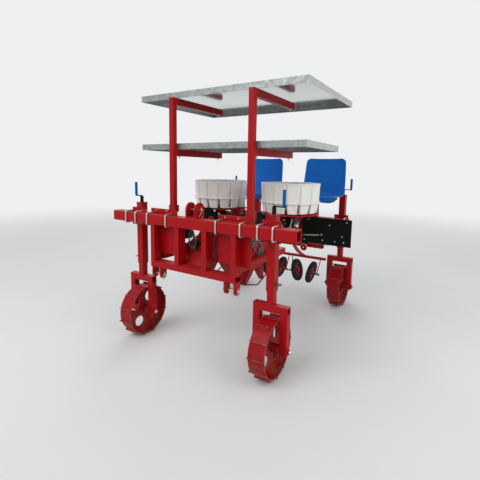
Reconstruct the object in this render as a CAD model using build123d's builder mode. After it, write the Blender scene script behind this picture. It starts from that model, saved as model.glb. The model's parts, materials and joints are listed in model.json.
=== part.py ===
from build123d import *
import math
import os

# Seedling transplanter for two close rows, carried on four height-adjustable ring wheels.
# Millimetres, +Z up. The tractor side faces -Y, the operators sit at +Y and face -Y.
# The origin is on the ground, midway between the axles and between the ends of the toolbar.

# Toolbar across the front
BAR_LENGTH = 1640.0
BAR = 80.0
BAR_WALL = 6.0
BAR_CORNER = 8.0
BAR_TOP = 1054.0

# Ground wheels: a flat ring with cross lugs, a web with four holes and a hub tube
WHEELBASE = 1572.0
TRACK = 1220.0
WHEEL_R = 217.0
LUG_COUNT = 12
LUG_HEIGHT = 16.0
LUG_THICK = 5.0
RING_WIDTH = 122.0
RING_WALL = 5.0
WEB_THICK = 6.0
WEB_HOLES = 4
WEB_HOLE_R = 43.0
WEB_HOLE_CIRCLE_R = 112.0
HUB_R = 32.0
HUB_OVER = 23.0
AXLE_R = 12.0
RUNNING_GAP = 0.06
SIDE_GAP = 5.5

# Legs: an outer sleeve on the bar, an inner tube sliding in it, and a fork over the wheel
SLEEVE = 60.0
SLEEVE_WALL = 5.0
SLEEVE_BOTTOM = 612.0
FRONT_SLEEVE_TOP = 1120.0
REAR_SLEEVE_TOP = 1160.0
SLIDE_GAP = 0.3
INNER_WALL = 4.0
INNER_TOP = 930.0
FORK = 50.0
FORK_WALL = 4.0
FORK_TOP = 520.0
FORK_DROP = 30.0
LEG_PLATE = 8.0
LEG_PLATE_WIDTH = 142.0
LEG_PLATE_BELOW = 32.0
LEG_PLATE_ABOVE = 32.0
LEG_CAP = 6.0
LEG_CAP_OVERHANG = 3.0

# Crank on each leg screw: a collar, an arm and an upright grip
COLLAR_R = 14.0
COLLAR_HEIGHT = 48.0
CRANK_ARM = 78.0
CRANK_ARM_WIDTH = 16.0
CRANK_ARM_THICK = 8.0
GRIP_R = 11.0
GRIP_LENGTH = 106.0
GRIP_CHAMFER = 2.0

# U-bolts round the front bar
U_ROD_R = 6.0
U_CLEAR = 0.3
U_HOLE_CLEAR = 0.8
LEG_U_HALF = 54.0
PLATE_U_HALF = 97.5
U_TAIL = 22.0
ROD_SIDES = 10
NUT_ACROSS = 19.0
NUT_THICK = 10.0

# Hitch frame under the bar and top hitch on it
LOWER_HITCH = 683.0
POST_WIDTH = 40.0
OUTER_POST_X = 372.0
INNER_POST_X = 128.0
FRAME_BOTTOM = 645.0
RAIL_HEIGHT = 46.0
POST_WALL = 5.0
LUG_PLATE = 14.0
CLEVIS_GAP = 66.0
CLEVIS_DEPTH = 64.0
CLEVIS_LENGTH = 92.0
LOWER_PIN_R = 11.2
TOP_PIN_R = 9.7
EAR_THICK = 12.0
EAR_GAP = 68.0
EAR_DEPTH = 106.0
EAR_SETBACK = 8.0
EAR_HEIGHT = 112.0
EAR_BASE = 8.0

# Side rails and their tie, main beams, rear beam and rear tube
RAIL = 50.0
RAIL_WALL = 4.0
RAIL_X = 355.0
RAIL_TOP = 745.0
TIE_BACK = 795.0
MAIN_X = 200.0
MAIN_WIDTH = 50.0
MAIN_HEIGHT = 60.0
REAR_BAR_TOP = 930.0
REAR_BAR_LENGTH = 1390.0
REAR_TUBE_TOP = 645.0
REAR_TUBE_HEIGHT = 46.0
REAR_TUBE_BACK = 1600.0
REAR_TUBE_END = 455.0

# The two planting units. Their upper parts stand UNIT_SHIFT to the right of the hitch
UNIT_SHIFT = 95.0
UNIT_PITCH = 690.0
ROW_PITCH = 352.0
UNIT_PLATE_X = 328.5
UNIT_PLATE = 8.0
UNIT_PLATE_WIDTH = 272.0
UNIT_PLATE_BOTTOM = 745.0
UNIT_PLATE_TOP = 1092.0
UNIT_BEAM = 60.0
UNIT_BEAM_HEIGHT = 50.0
UNIT_BEAM_BACK = 825.0
UNIT_BEAM_WALL = 4.0

# Seedling carousel
CAROUSEL_BACK = 745.0
CUP_COUNT = 14
CUP_TOP = 1305.0
CUP_BAND = 1154.0
CUP_BOTTOM = 1072.0
CUP_WALL = 3.0
CUP_CORNER = 9.0
CUP_INNER_R = 138.0
RIM_R = 236.0
BAND_R = 244.0
BAND_WALL = 22.0
BAND_HEIGHT = 8.0
LIP_R = 240.0
LIP_WALL = 18.0
LIP_HEIGHT = 9.0
CARRIER_R = 155.0
LEFT_TURN = 4.3
RIGHT_TURN = 16.0
CAROUSEL_SHAFT_R = 20.0
CAROUSEL_HUB_R = 42.0
CAROUSEL_HUB_HEIGHT = 70.0
DECK_TOP = 1062.0
DECK_THICK = 8.0
DECK_R = 228.0
DECK_INNER_R = 128.0
DROP_R = 40.0
CHUTE_LENGTH = 92.0
CHUTE_WALL = 3.0
SCALLOP_R = 22.0

# Planting wheel with radial bills
PLANTER_BACK = 475.0
PLANTER_Z = 765.0
PLANTER_R = 284.0
BILL_COUNT = 6
BILL_START_DEG = 235.0
BILL_ROOT_R = 118.0
BILL_WIDTH = 62.0
BILL_ROOT_WIDTH = 66.0
BILL_TIP_WIDTH = 14.0
PLANTER_DISC_R = 132.0
PLANTER_DISC = 8.0
PLANTER_AXLE_R = 14.0
PLANTER_HUB_R = 30.0
SIDE_PLATE = 8.0
SIDE_PLATE_GAP = 5.0
SIDE_PLATE_BOTTOM = 720.0
HOOP_ROD_R = 5.0
HOOP_BEND_R = 90.0
GUARD_SHEET = 4.0

# Trays on posts
TRAY_POST = 40.0
TRAY_POST_WALL = 3.0
TRAY_SOCKET = 60.0
TRAY_SOCKET_DEPTH = 48.0
TRAY_RIB = 18.0
TRAY_RIB_BOTTOM = 985.0
TRAY_SOCKET_BOTTOM = 1075.0
TRAY_SOCKET_HEIGHT = 52.0
TRAY_WIDTH = 1420.0
TRAY_FRONT_BACK = 140.0
TRAY_LIP = 45.0
TRAY_SHEET = 2.5
UPPER_TRAY_TOP = 1974.0
UPPER_TRAY_DEPTH = 970.0
LOWER_TRAY_TOP = 1596.0
LOWER_TRAY_DEPTH = 650.0
TRAY_ARM_WIDTH = 40.0
TRAY_ARM_HEIGHT = 50.0
TRAY_ARM_END_BACK = 725.0

# Seats
SEAT_BACK = 1416.0
SEAT_PAN_Z = 1150.0
SEAT_WIDTH = 410.0
SEAT_SHELL = 8.0
SEAT_CORNER_R = 45.0
SEAT_POST = 60.0
SEAT_POST_OFF = 94.0
SEAT_ARM_HEIGHT = 46.0
SEAT_ARM_FRONT_BACK = 1335.0
SEAT_SLOT = 74.0
SEAT_SLOT_HEIGHT = 10.0

# Black guard panels in front of the rear legs
PANEL_THICK = 6.0
PANEL_GAP = 14.0
PANEL_NOTCH_GAP = 2.0
PANEL_TOP = 926.0
PANEL_BOTTOM = 652.0
PANEL_INNER = 205.0
PANEL_OUTER = 747.0
PANEL_CUT = 90.0

# Press wheels behind each row, in a V that is wider at the top
PRESS_BACK = 1560.0
PRESS_Z = 338.0
PRESS_R = 118.0
PRESS_WIDTH = 44.0
PRESS_HALF = 80.0
PRESS_TILT = 12.0
PRESS_RIM_R = 66.0
PRESS_SHOULDER = 12.0
PRESS_BORE_R = 10.0
PRESS_STUB = 62.0
PRESS_STUB_END = 92.0
PRESS_ROD_R = 4.5
PRESS_EYE_R = 14.0
PRESS_EYE = 12.0
PRESS_BAR = 25.0
PRESS_BAR_TOP = 511.0
PRESS_BAR_OVER = 150.0
PRESS_ARM = 12.0
PRESS_TIE_BACK = 1245.0

# Places worked out from the sizes above
FRONT_LEG_Y = -WHEELBASE / 2
REAR_LEG_Y = WHEELBASE / 2
BAR_Y = FRONT_LEG_Y - SLEEVE / 2 - LEG_PLATE - BAR
BAR_BACK = BAR_Y + BAR
BAR_Z = BAR_TOP - BAR / 2
REAR_BAR_BACK = REAR_LEG_Y - SLEEVE / 2 - LEG_PLATE
REAR_BAR_Y = REAR_BAR_BACK - BAR
REAR_BAR_Z = REAR_BAR_TOP - BAR / 2
LEG_X = TRACK / 2
RING_R = WHEEL_R - LUG_HEIGHT
HUB_LENGTH = RING_WIDTH + HUB_OVER
FORK_INNER = HUB_LENGTH + 2 * SIDE_GAP
FORK_WIDTH = FORK_INNER + 2 * FORK
FRAME_MID = FRAME_BOTTOM + RAIL_HEIGHT / 2
BEAM_TOP = REAR_BAR_TOP
BEAM_Z = BEAM_TOP - UNIT_BEAM_HEIGHT / 2
MAIN_Z = RAIL_TOP + MAIN_HEIGHT / 2
MAIN_TOP = RAIL_TOP + MAIN_HEIGHT
CAROUSEL_Y = BAR_Y + CAROUSEL_BACK
CUP_RING_R = (UNIT_PITCH - ROW_PITCH) / 2
PLANTER_Y = BAR_Y + PLANTER_BACK
PLANTER_HALF = BILL_WIDTH / 2 + 3
SIDE_PLATE_OFF = PLANTER_HALF + SIDE_PLATE_GAP + SIDE_PLATE / 2
PRESS_Y = BAR_Y + PRESS_BACK
SEAT_Y = BAR_Y + SEAT_BACK

# side: -1 is the left unit, +1 the right one
SIDES = (("left", -1), ("right", 1))

# name, x side, turn of the cups in degrees
CAROUSELS = (("left", -1, LEFT_TURN), ("right", 1, RIGHT_TURN))

# name, x side, leg centre y, centre z of its bar, top of the sleeve, turn of its wheel in degrees.
# At 0 a wheel stands on one lug, half a pitch on it stands on two, and its leg is let down to match
LEGS = (
    ("front_left", -1, FRONT_LEG_Y, BAR_Z, FRONT_SLEEVE_TOP, 180 / LUG_COUNT),
    ("front_right", 1, FRONT_LEG_Y, BAR_Z, FRONT_SLEEVE_TOP, 0),
    ("rear_left", -1, REAR_LEG_Y, REAR_BAR_Z, REAR_SLEEVE_TOP, 0),
    ("rear_right", 1, REAR_LEG_Y, REAR_BAR_Z, REAR_SLEEVE_TOP, 0),
)

os.makedirs("parts", exist_ok=True)


def save(builder, name):
    """Label a finished sub-part and write its file."""
    builder.part.label = name
    export_step(builder.part, f"parts/{name}.step")


def tube_section(plane, across, up, width, height, wall):
    """Section of a hollow rectangular tube, centred at (across, up) on the plane."""
    with BuildSketch(plane) as section:
        with Locations((across, up)):
            Rectangle(width, height)
            Rectangle(width - 2 * wall, height - 2 * wall, mode=Mode.SUBTRACT)
    return section.sketch


def facing_front(x, y, z):
    """Plane across the machine with its normal towards the tractor."""
    return Plane(origin=(x, y, z), x_dir=(1, 0, 0), z_dir=(0, -1, 0))


def facing_back(x, y, z):
    """Plane across the machine with its normal towards the operators."""
    return Plane(origin=(x, y, z), x_dir=(-1, 0, 0), z_dir=(0, 1, 0))


def unit_x(side):
    """Centre of a unit's carousel, seat and tray post."""
    return UNIT_SHIFT + side * UNIT_PITCH / 2


def axle_z(turn):
    """Height of a wheel's axle when its lugs are turned so far from standing on one lug."""
    return WHEEL_R * math.cos(math.radians(turn))


def row_x(side):
    """Centre of a planted row, under the innermost cup of the carousel."""
    return UNIT_SHIFT + side * ROW_PITCH / 2


# Toolbar
with BuildPart() as toolbar:
    with BuildSketch(Plane.YZ.offset(-BAR_LENGTH / 2)):
        with Locations((BAR_Y + BAR / 2, BAR_Z)):
            RectangleRounded(BAR, BAR, BAR_CORNER)
            Rectangle(BAR - 2 * BAR_WALL, BAR - 2 * BAR_WALL, mode=Mode.SUBTRACT)
    extrude(amount=BAR_LENGTH)
save(toolbar, "toolbar")

# Four posts under the bar
with BuildPart() as hitch_posts:
    for x in (-OUTER_POST_X, -INNER_POST_X, INNER_POST_X, OUTER_POST_X):
        post_plane = Plane.XY.offset(FRAME_BOTTOM + RAIL_HEIGHT)
        extrude(
            tube_section(post_plane, x, BAR_Y + BAR / 2, POST_WIDTH, BAR, POST_WALL),
            amount=BAR_TOP - BAR - FRAME_BOTTOM - RAIL_HEIGHT,
        )
save(hitch_posts, "hitch_posts")

# Bottom rail of the hitch frame with the two lower clevises
with BuildPart() as hitch_rail:
    with BuildSketch(Plane.YZ.offset(-OUTER_POST_X - POST_WIDTH / 2)):
        with Locations((BAR_Y + BAR / 2, FRAME_MID)):
            Rectangle(BAR, RAIL_HEIGHT)
            Rectangle(BAR - 2 * POST_WALL, RAIL_HEIGHT - 2 * POST_WALL, mode=Mode.SUBTRACT)
    extrude(amount=2 * OUTER_POST_X + POST_WIDTH)
    lug_top = FRAME_BOTTOM
    lug_centre = FRAME_BOTTOM - CLEVIS_LENGTH + CLEVIS_DEPTH / 2
    for side in (-1, 1):
        for inner in (-1, 1):
            x = side * LOWER_HITCH / 2 + inner * (CLEVIS_GAP + LUG_PLATE) / 2
            with BuildSketch(Plane.YZ.offset(x - LUG_PLATE / 2)):
                with Locations((BAR_Y + BAR / 2, (lug_top + lug_centre) / 2)):
                    Rectangle(CLEVIS_DEPTH, lug_top - lug_centre)
                with Locations((BAR_Y + BAR / 2, lug_centre)):
                    Circle(CLEVIS_DEPTH / 2)
                    Circle(LOWER_PIN_R, mode=Mode.SUBTRACT)
            extrude(amount=LUG_PLATE)
save(hitch_rail, "hitch_rail")

# Top hitch: two round-topped ears on a base plate
with BuildPart() as top_hitch:
    ear_mid = BAR_Y + EAR_SETBACK + EAR_DEPTH / 2
    with Locations((0, ear_mid, BAR_TOP + EAR_BASE / 2)):
        Box(EAR_GAP + 2 * EAR_THICK, EAR_DEPTH, EAR_BASE)
    ear_z = BAR_TOP + EAR_HEIGHT - EAR_DEPTH / 2
    for side in (-1, 1):
        with BuildSketch(Plane.YZ.offset(side * (EAR_GAP + EAR_THICK) / 2 - EAR_THICK / 2)):
            with Locations((ear_mid, (BAR_TOP + EAR_BASE + ear_z) / 2)):
                Rectangle(EAR_DEPTH, ear_z - BAR_TOP - EAR_BASE)
            with Locations((ear_mid, ear_z)):
                Circle(EAR_DEPTH / 2)
                Circle(TOP_PIN_R, mode=Mode.SUBTRACT)
        extrude(amount=EAR_THICK)
save(top_hitch, "top_hitch")

# U-bolts: four pairs round the front bar, two pairs round the rear bar
rod_off = U_ROD_R + U_CLEAR
U_BEND_R = BAR_CORNER + rod_off
leg_rods = [side * LEG_X + half * LEG_U_HALF for side in (-1, 1) for half in (-1, 1)]
plate_rods = [side * UNIT_PLATE_X + half * PLATE_U_HALF for side in (-1, 1) for half in (-1, 1)]
# x, front face y of the bar, centre z of the bar, plate thickness behind the bar
U_BOLTS = [(x, BAR_Y, BAR_Z, LEG_PLATE) for x in leg_rods]
U_BOLTS += [(x, BAR_Y, BAR_Z, UNIT_PLATE) for x in plate_rods]
U_BOLTS += [(x, REAR_BAR_Y, REAR_BAR_Z, LEG_PLATE) for x in leg_rods]
with BuildPart() as u_bolts:
    for x, face_y, centre_z, plate in U_BOLTS:
        reach = BAR / 2 + rod_off
        tail_y = face_y + BAR + plate + U_TAIL
        with BuildLine() as path:
            FilletPolyline(
                (x, tail_y, centre_z + reach),
                (x, face_y - rod_off, centre_z + reach),
                (x, face_y - rod_off, centre_z - reach),
                (x, tail_y, centre_z - reach),
                radius=U_BEND_R,
            )
        with BuildSketch(facing_front(x, tail_y, centre_z + reach)):
            RegularPolygon(U_ROD_R, ROD_SIDES)
        sweep(path=path.line)
        for level in (-1, 1):
            with BuildSketch(facing_back(x, face_y + BAR + plate, centre_z + level * reach)):
                RegularPolygon(NUT_ACROSS / 2, 6, major_radius=False)
            extrude(amount=NUT_THICK)
save(u_bolts, "u_bolts")

# Legs: sleeve, clamping plate and cap
for name, side, leg_y, bar_z, sleeve_top, turn in LEGS:
    x = side * LEG_X
    with BuildPart() as leg:
        extrude(
            tube_section(Plane.XY.offset(SLEEVE_BOTTOM), x, leg_y, SLEEVE, SLEEVE, SLEEVE_WALL),
            amount=sleeve_top - SLEEVE_BOTTOM,
        )
        cap_size = SLEEVE + 2 * LEG_CAP_OVERHANG
        with Locations((x, leg_y, sleeve_top + LEG_CAP / 2)):
            Box(cap_size, cap_size, LEG_CAP)
        plate_height = BAR + LEG_PLATE_BELOW + LEG_PLATE_ABOVE
        with BuildSketch(facing_front(x, leg_y - SLEEVE / 2, bar_z)):
            Rectangle(LEG_PLATE_WIDTH, plate_height)
            with GridLocations(2 * LEG_U_HALF, BAR + 2 * rod_off, 2, 2):
                Circle(U_ROD_R + U_HOLE_CLEAR, mode=Mode.SUBTRACT)
        extrude(amount=LEG_PLATE)
    save(leg, f"leg_{name}")

# Forks: inner tube, crossbar, two arms and the axle bolt
for name, side, leg_y, bar_z, sleeve_top, turn in LEGS:
    x = side * LEG_X
    inner = SLEEVE - 2 * SLEEVE_WALL - 2 * SLIDE_GAP
    hub_z = axle_z(turn)
    arm_bottom = hub_z - FORK_DROP
    fork_top = FORK_TOP + hub_z - WHEEL_R
    with BuildPart() as fork:
        extrude(
            tube_section(Plane.XY.offset(fork_top), x, leg_y, inner, inner, INNER_WALL),
            amount=INNER_TOP - fork_top,
        )
        extrude(
            tube_section(
                Plane.YZ.offset(x - FORK_WIDTH / 2), leg_y, fork_top - FORK / 2, FORK, FORK, FORK_WALL
            ),
            amount=FORK_WIDTH,
        )
        for arm in (-1, 1):
            arm_x = x + arm * (FORK_INNER + FORK) / 2
            extrude(
                tube_section(Plane.XY.offset(arm_bottom), arm_x, leg_y, FORK, FORK, FORK_WALL),
                amount=fork_top - FORK - arm_bottom,
            )
        axle_half = FORK_WIDTH / 2 + 8
        with BuildSketch(Plane(origin=(x - axle_half, leg_y, hub_z), z_dir=(1, 0, 0))):
            Circle(AXLE_R)
        extrude(amount=2 * axle_half)
        for end in (-1, 1):
            head_plane = Plane(
                origin=(x + end * FORK_WIDTH / 2, leg_y, hub_z), z_dir=(end, 0, 0)
            )
            with BuildSketch(head_plane):
                RegularPolygon(18, 6, major_radius=False)
            extrude(amount=14)
    save(fork, f"fork_{name}")

# Ring wheels
for name, side, leg_y, bar_z, sleeve_top, turn in LEGS:
    x = side * LEG_X
    hub_z = axle_z(turn)
    with BuildPart() as wheel:
        with BuildSketch(Plane(origin=(x - RING_WIDTH / 2, leg_y, hub_z), z_dir=(1, 0, 0))):
            Circle(RING_R)
            Circle(RING_R - RING_WALL, mode=Mode.SUBTRACT)
        extrude(amount=RING_WIDTH)
        with BuildSketch(Plane(origin=(x - WEB_THICK / 2, leg_y, hub_z), z_dir=(1, 0, 0))):
            Circle(RING_R - RING_WALL / 2)
            with PolarLocations(WEB_HOLE_CIRCLE_R, WEB_HOLES, start_angle=45 + turn):
                Circle(WEB_HOLE_R, mode=Mode.SUBTRACT)
        extrude(amount=WEB_THICK)
        with BuildSketch(Plane(origin=(x - HUB_LENGTH / 2, leg_y, hub_z), z_dir=(1, 0, 0))):
            Circle(HUB_R)
        extrude(amount=HUB_LENGTH)
        with BuildSketch(Plane(origin=(x - RING_WIDTH / 2, leg_y, hub_z), z_dir=(1, 0, 0))):
            with PolarLocations(RING_R + LUG_HEIGHT / 2 - 1, LUG_COUNT, start_angle=turn):
                Rectangle(LUG_HEIGHT + 2, LUG_THICK)
        extrude(amount=RING_WIDTH)
        with BuildSketch(Plane(origin=(x - HUB_LENGTH / 2, leg_y, hub_z), z_dir=(1, 0, 0))):
            Circle(AXLE_R + RUNNING_GAP)
        extrude(amount=HUB_LENGTH, mode=Mode.SUBTRACT)
    save(wheel, f"wheel_{name}")

# Cranks on the leg screws: collar, arm and grip. Each arm points outwards at its own angle
# x side, leg y, top of the sleeve, angle of the arm in degrees
CRANKS = (
    (-1, FRONT_LEG_Y, FRONT_SLEEVE_TOP, 172),
    (1, FRONT_LEG_Y, FRONT_SLEEVE_TOP, -12),
    (-1, REAR_LEG_Y, REAR_SLEEVE_TOP, 186),
    (1, REAR_LEG_Y, REAR_SLEEVE_TOP, -4),
)


def grip_place(side, leg_y, angle):
    """Centre of a grip at the end of its arm."""
    along = math.radians(angle)
    return side * LEG_X + CRANK_ARM * math.cos(along), leg_y + CRANK_ARM * math.sin(along)


with BuildPart() as crank_collars:
    for side, leg_y, sleeve_top, angle in CRANKS:
        with Locations((side * LEG_X, leg_y, sleeve_top + LEG_CAP + COLLAR_HEIGHT / 2)):
            Cylinder(COLLAR_R, COLLAR_HEIGHT)
save(crank_collars, "crank_collars")

with BuildPart() as crank_arms:
    for side, leg_y, sleeve_top, angle in CRANKS:
        grip_x, grip_y = grip_place(side, leg_y, angle)
        with BuildSketch(Plane.XY.offset(sleeve_top + LEG_CAP + COLLAR_HEIGHT)):
            with Locations(((side * LEG_X + grip_x) / 2, (leg_y + grip_y) / 2)):
                SlotCenterToCenter(CRANK_ARM, CRANK_ARM_WIDTH, rotation=angle)
        extrude(amount=CRANK_ARM_THICK)
save(crank_arms, "crank_arms")

with BuildPart() as crank_grips:
    for side, leg_y, sleeve_top, angle in CRANKS:
        grip_x, grip_y = grip_place(side, leg_y, angle)
        arm_top = sleeve_top + LEG_CAP + COLLAR_HEIGHT + CRANK_ARM_THICK
        with Locations((grip_x, grip_y, arm_top + GRIP_LENGTH / 2)):
            Cylinder(GRIP_R, GRIP_LENGTH)
    chamfer(crank_grips.edges().filter_by(GeomType.CIRCLE), GRIP_CHAMFER)
save(crank_grips, "crank_grips")

# Clamping plates of the two units, with a folded top edge
with BuildPart() as unit_plates:
    for name, side in SIDES:
        mid = side * UNIT_PLATE_X
        plate_mid = (UNIT_PLATE_BOTTOM + UNIT_PLATE_TOP) / 2
        with BuildSketch(facing_front(mid, BAR_BACK + UNIT_PLATE, plate_mid)):
            Rectangle(UNIT_PLATE_WIDTH, UNIT_PLATE_TOP - UNIT_PLATE_BOTTOM)
            with Locations((0, BAR_Z - plate_mid)):
                with GridLocations(2 * PLATE_U_HALF, BAR + 2 * rod_off, 2, 2):
                    Circle(U_ROD_R + U_HOLE_CLEAR, mode=Mode.SUBTRACT)
        extrude(amount=UNIT_PLATE)
save(unit_plates, "unit_plates")

# Side rails from the hitch frame back past the planting wheels
RAIL_END = BAR_Y + TIE_BACK + RAIL / 2
with BuildPart() as side_rails:
    for side in (-1, 1):
        extrude(
            tube_section(
                facing_back(side * RAIL_X, BAR_BACK, RAIL_TOP - RAIL / 2), 0, 0, RAIL, RAIL, RAIL_WALL
            ),
            amount=RAIL_END - BAR_BACK,
        )
save(side_rails, "side_rails")

# Tie between the side rails, uprights under the rear beam, the tube below it and its hangers
with BuildPart() as frame_ties:
    extrude(
        tube_section(
            Plane.YZ.offset(-RAIL_X + RAIL / 2), BAR_Y + TIE_BACK, RAIL_TOP - RAIL / 2, RAIL, RAIL, RAIL_WALL
        ),
        amount=2 * RAIL_X - RAIL,
    )
    for side in (-1, 1):
        extrude(
            tube_section(
                Plane.XY.offset(MAIN_TOP), side * MAIN_X, REAR_BAR_Y + BAR / 2, MAIN_WIDTH, RAIL, RAIL_WALL
            ),
            amount=REAR_BAR_TOP - BAR - MAIN_TOP,
        )
        extrude(
            tube_section(
                Plane.XY.offset(REAR_TUBE_TOP), side * MAIN_X, BAR_Y + REAR_TUBE_BACK,
                MAIN_WIDTH, RAIL, RAIL_WALL,
            ),
            amount=RAIL_TOP - REAR_TUBE_TOP,
        )
    extrude(
        tube_section(
            Plane.YZ.offset(-REAR_TUBE_END), BAR_Y + REAR_TUBE_BACK, REAR_TUBE_TOP - REAR_TUBE_HEIGHT / 2,
            RAIL, REAR_TUBE_HEIGHT, RAIL_WALL,
        ),
        amount=2 * REAR_TUBE_END,
    )
save(frame_ties, "frame_ties")

# Main beams from the clamping plates to the rear
with BuildPart() as main_beams:
    for side in (-1, 1):
        start = BAR_BACK + UNIT_PLATE
        extrude(
            tube_section(
                facing_back(side * MAIN_X, start, MAIN_Z), 0, 0, MAIN_WIDTH, MAIN_HEIGHT, RAIL_WALL
            ),
            amount=REAR_BAR_BACK - start,
        )
save(main_beams, "main_beams")

# Rear beam
with BuildPart() as rear_beam:
    with BuildSketch(Plane.YZ.offset(-REAR_BAR_LENGTH / 2)):
        with Locations((REAR_BAR_Y + BAR / 2, REAR_BAR_Z)):
            RectangleRounded(BAR, BAR, BAR_CORNER)
            Rectangle(BAR - 2 * BAR_WALL, BAR - 2 * BAR_WALL, mode=Mode.SUBTRACT)
    extrude(amount=REAR_BAR_LENGTH)
save(rear_beam, "rear_beam")

# Unit beams: an upright on the main beam, a cross tube, and a stub that carries the carousel's column
with BuildPart() as unit_beams:
    beam_y = BAR_Y + UNIT_BEAM_BACK
    beam_bottom = BEAM_TOP - UNIT_BEAM_HEIGHT
    for name, side in SIDES:
        extrude(
            tube_section(
                Plane.XY.offset(MAIN_TOP), side * MAIN_X, beam_y, MAIN_WIDTH, UNIT_BEAM_HEIGHT, UNIT_BEAM_WALL
            ),
            amount=beam_bottom - MAIN_TOP,
        )
        plate_inner = side * row_x(side) + SIDE_PLATE_OFF - SIDE_PLATE / 2
        inner = side * min(MAIN_X - MAIN_WIDTH / 2, plate_inner)
        outer = unit_x(side) + side * UNIT_BEAM / 2
        extrude(
            tube_section(
                Plane.YZ.offset(min(inner, outer)), beam_y, BEAM_Z,
                UNIT_BEAM_HEIGHT, UNIT_BEAM_HEIGHT, UNIT_BEAM_WALL,
            ),
            amount=abs(outer - inner),
        )
        stub_start = CAROUSEL_Y - CAROUSEL_HUB_R
        extrude(
            tube_section(
                facing_back(unit_x(side), stub_start, BEAM_Z),
                0, 0, UNIT_BEAM, UNIT_BEAM_HEIGHT, UNIT_BEAM_WALL,
            ),
            amount=beam_y - UNIT_BEAM_HEIGHT / 2 - stub_start,
        )
save(unit_beams, "unit_beams")

# Tray posts behind the clamping plates
POST_Y = BAR_BACK + UNIT_PLATE + TRAY_POST / 2
POST_TOP = UPPER_TRAY_TOP - TRAY_LIP
UNIT_PLATE_RIB_OFF = 4.0
socket_top = TRAY_SOCKET_BOTTOM + TRAY_SOCKET_HEIGHT
with BuildPart() as tray_posts:
    for name, side in SIDES:
        extrude(
            tube_section(Plane.XY.offset(socket_top), unit_x(side), POST_Y, TRAY_POST, TRAY_POST, TRAY_POST_WALL),
            amount=POST_TOP - socket_top,
        )
        socket_y = BAR_BACK + UNIT_PLATE + TRAY_SOCKET_DEPTH / 2
        with Locations((unit_x(side), socket_y, TRAY_SOCKET_BOTTOM)):
            Box(
                TRAY_SOCKET, TRAY_SOCKET_DEPTH, TRAY_SOCKET_HEIGHT,
                align=(Align.CENTER, Align.CENTER, Align.MIN),
            )
        rib_x = unit_x(side) + side * (UNIT_PLATE_RIB_OFF + TRAY_RIB / 2)
        with Locations((rib_x, socket_y, TRAY_RIB_BOTTOM)):
            Box(
                TRAY_RIB, TRAY_SOCKET_DEPTH, TRAY_SOCKET_BOTTOM - TRAY_RIB_BOTTOM,
                align=(Align.CENTER, Align.CENTER, Align.MIN),
            )
save(tray_posts, "tray_posts")

# Arms that carry the trays
with BuildPart() as tray_arms:
    for name, side in SIDES:
        for tray_top in (UPPER_TRAY_TOP, LOWER_TRAY_TOP):
            arm_z = tray_top - TRAY_LIP - TRAY_ARM_HEIGHT / 2
            start = POST_Y + TRAY_POST / 2
            extrude(
                tube_section(
                    facing_back(unit_x(side), start, arm_z),
                    0, 0, TRAY_ARM_WIDTH, TRAY_ARM_HEIGHT, TRAY_POST_WALL,
                ),
                amount=BAR_Y + TRAY_ARM_END_BACK - start,
            )
save(tray_arms, "tray_arms")

# Trays: folded sheet with the lips down
for name, top, depth in (
    ("upper_tray", UPPER_TRAY_TOP, UPPER_TRAY_DEPTH),
    ("lower_tray", LOWER_TRAY_TOP, LOWER_TRAY_DEPTH),
):
    with BuildPart() as tray:
        tray_mid = BAR_Y + TRAY_FRONT_BACK + depth / 2
        with Locations((UNIT_SHIFT, tray_mid, top - TRAY_LIP / 2)):
            Box(TRAY_WIDTH, depth, TRAY_LIP)
        with Locations((UNIT_SHIFT, tray_mid, top - TRAY_LIP / 2 - TRAY_SHEET)):
            Box(TRAY_WIDTH - 2 * TRAY_SHEET, depth - 2 * TRAY_SHEET, TRAY_LIP, mode=Mode.SUBTRACT)
    save(tray, name)


def cup_section(z, inner_r, outer_r, gap, shrink):
    """Section of a tapered cup at height z, on the +X side of the carousel, gap from its neighbour."""
    corner_r = outer_r - CUP_CORNER
    spread = math.tan(math.pi / CUP_COUNT)
    inner_half = inner_r * spread - gap / 2 - shrink
    outer_half = corner_r * spread - gap / 2 - shrink
    with BuildSketch(Plane.XY.offset(z)) as section:
        with BuildLine():
            Polyline(
                (inner_r + shrink, -inner_half),
                (corner_r, -outer_half),
                (outer_r - shrink, -outer_half + CUP_CORNER),
                (outer_r - shrink, outer_half - CUP_CORNER),
                (corner_r, outer_half),
                (inner_r + shrink, inner_half),
                close=True,
            )
        make_face()
    return section.sketch


def cup_solid(shrink, bottom, top):
    """One cup, or its hollow when shrink is the wall, with the axis of the ring at the origin."""
    # height, inner radius, outer radius, gap to the next cup
    sections = (
        (bottom, CUP_INNER_R + 32, RIM_R - 20, 24.0),
        (CUP_BAND, CUP_INNER_R + 12, RIM_R - 6, 13.0),
        (top, CUP_INNER_R, RIM_R, 6.0),
    )
    with BuildPart() as solid:
        for z, inner_r, outer_r, gap in sections:
            add(cup_section(z, inner_r, outer_r, gap, shrink))
        loft(ruled=True)
    return solid.part


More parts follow.
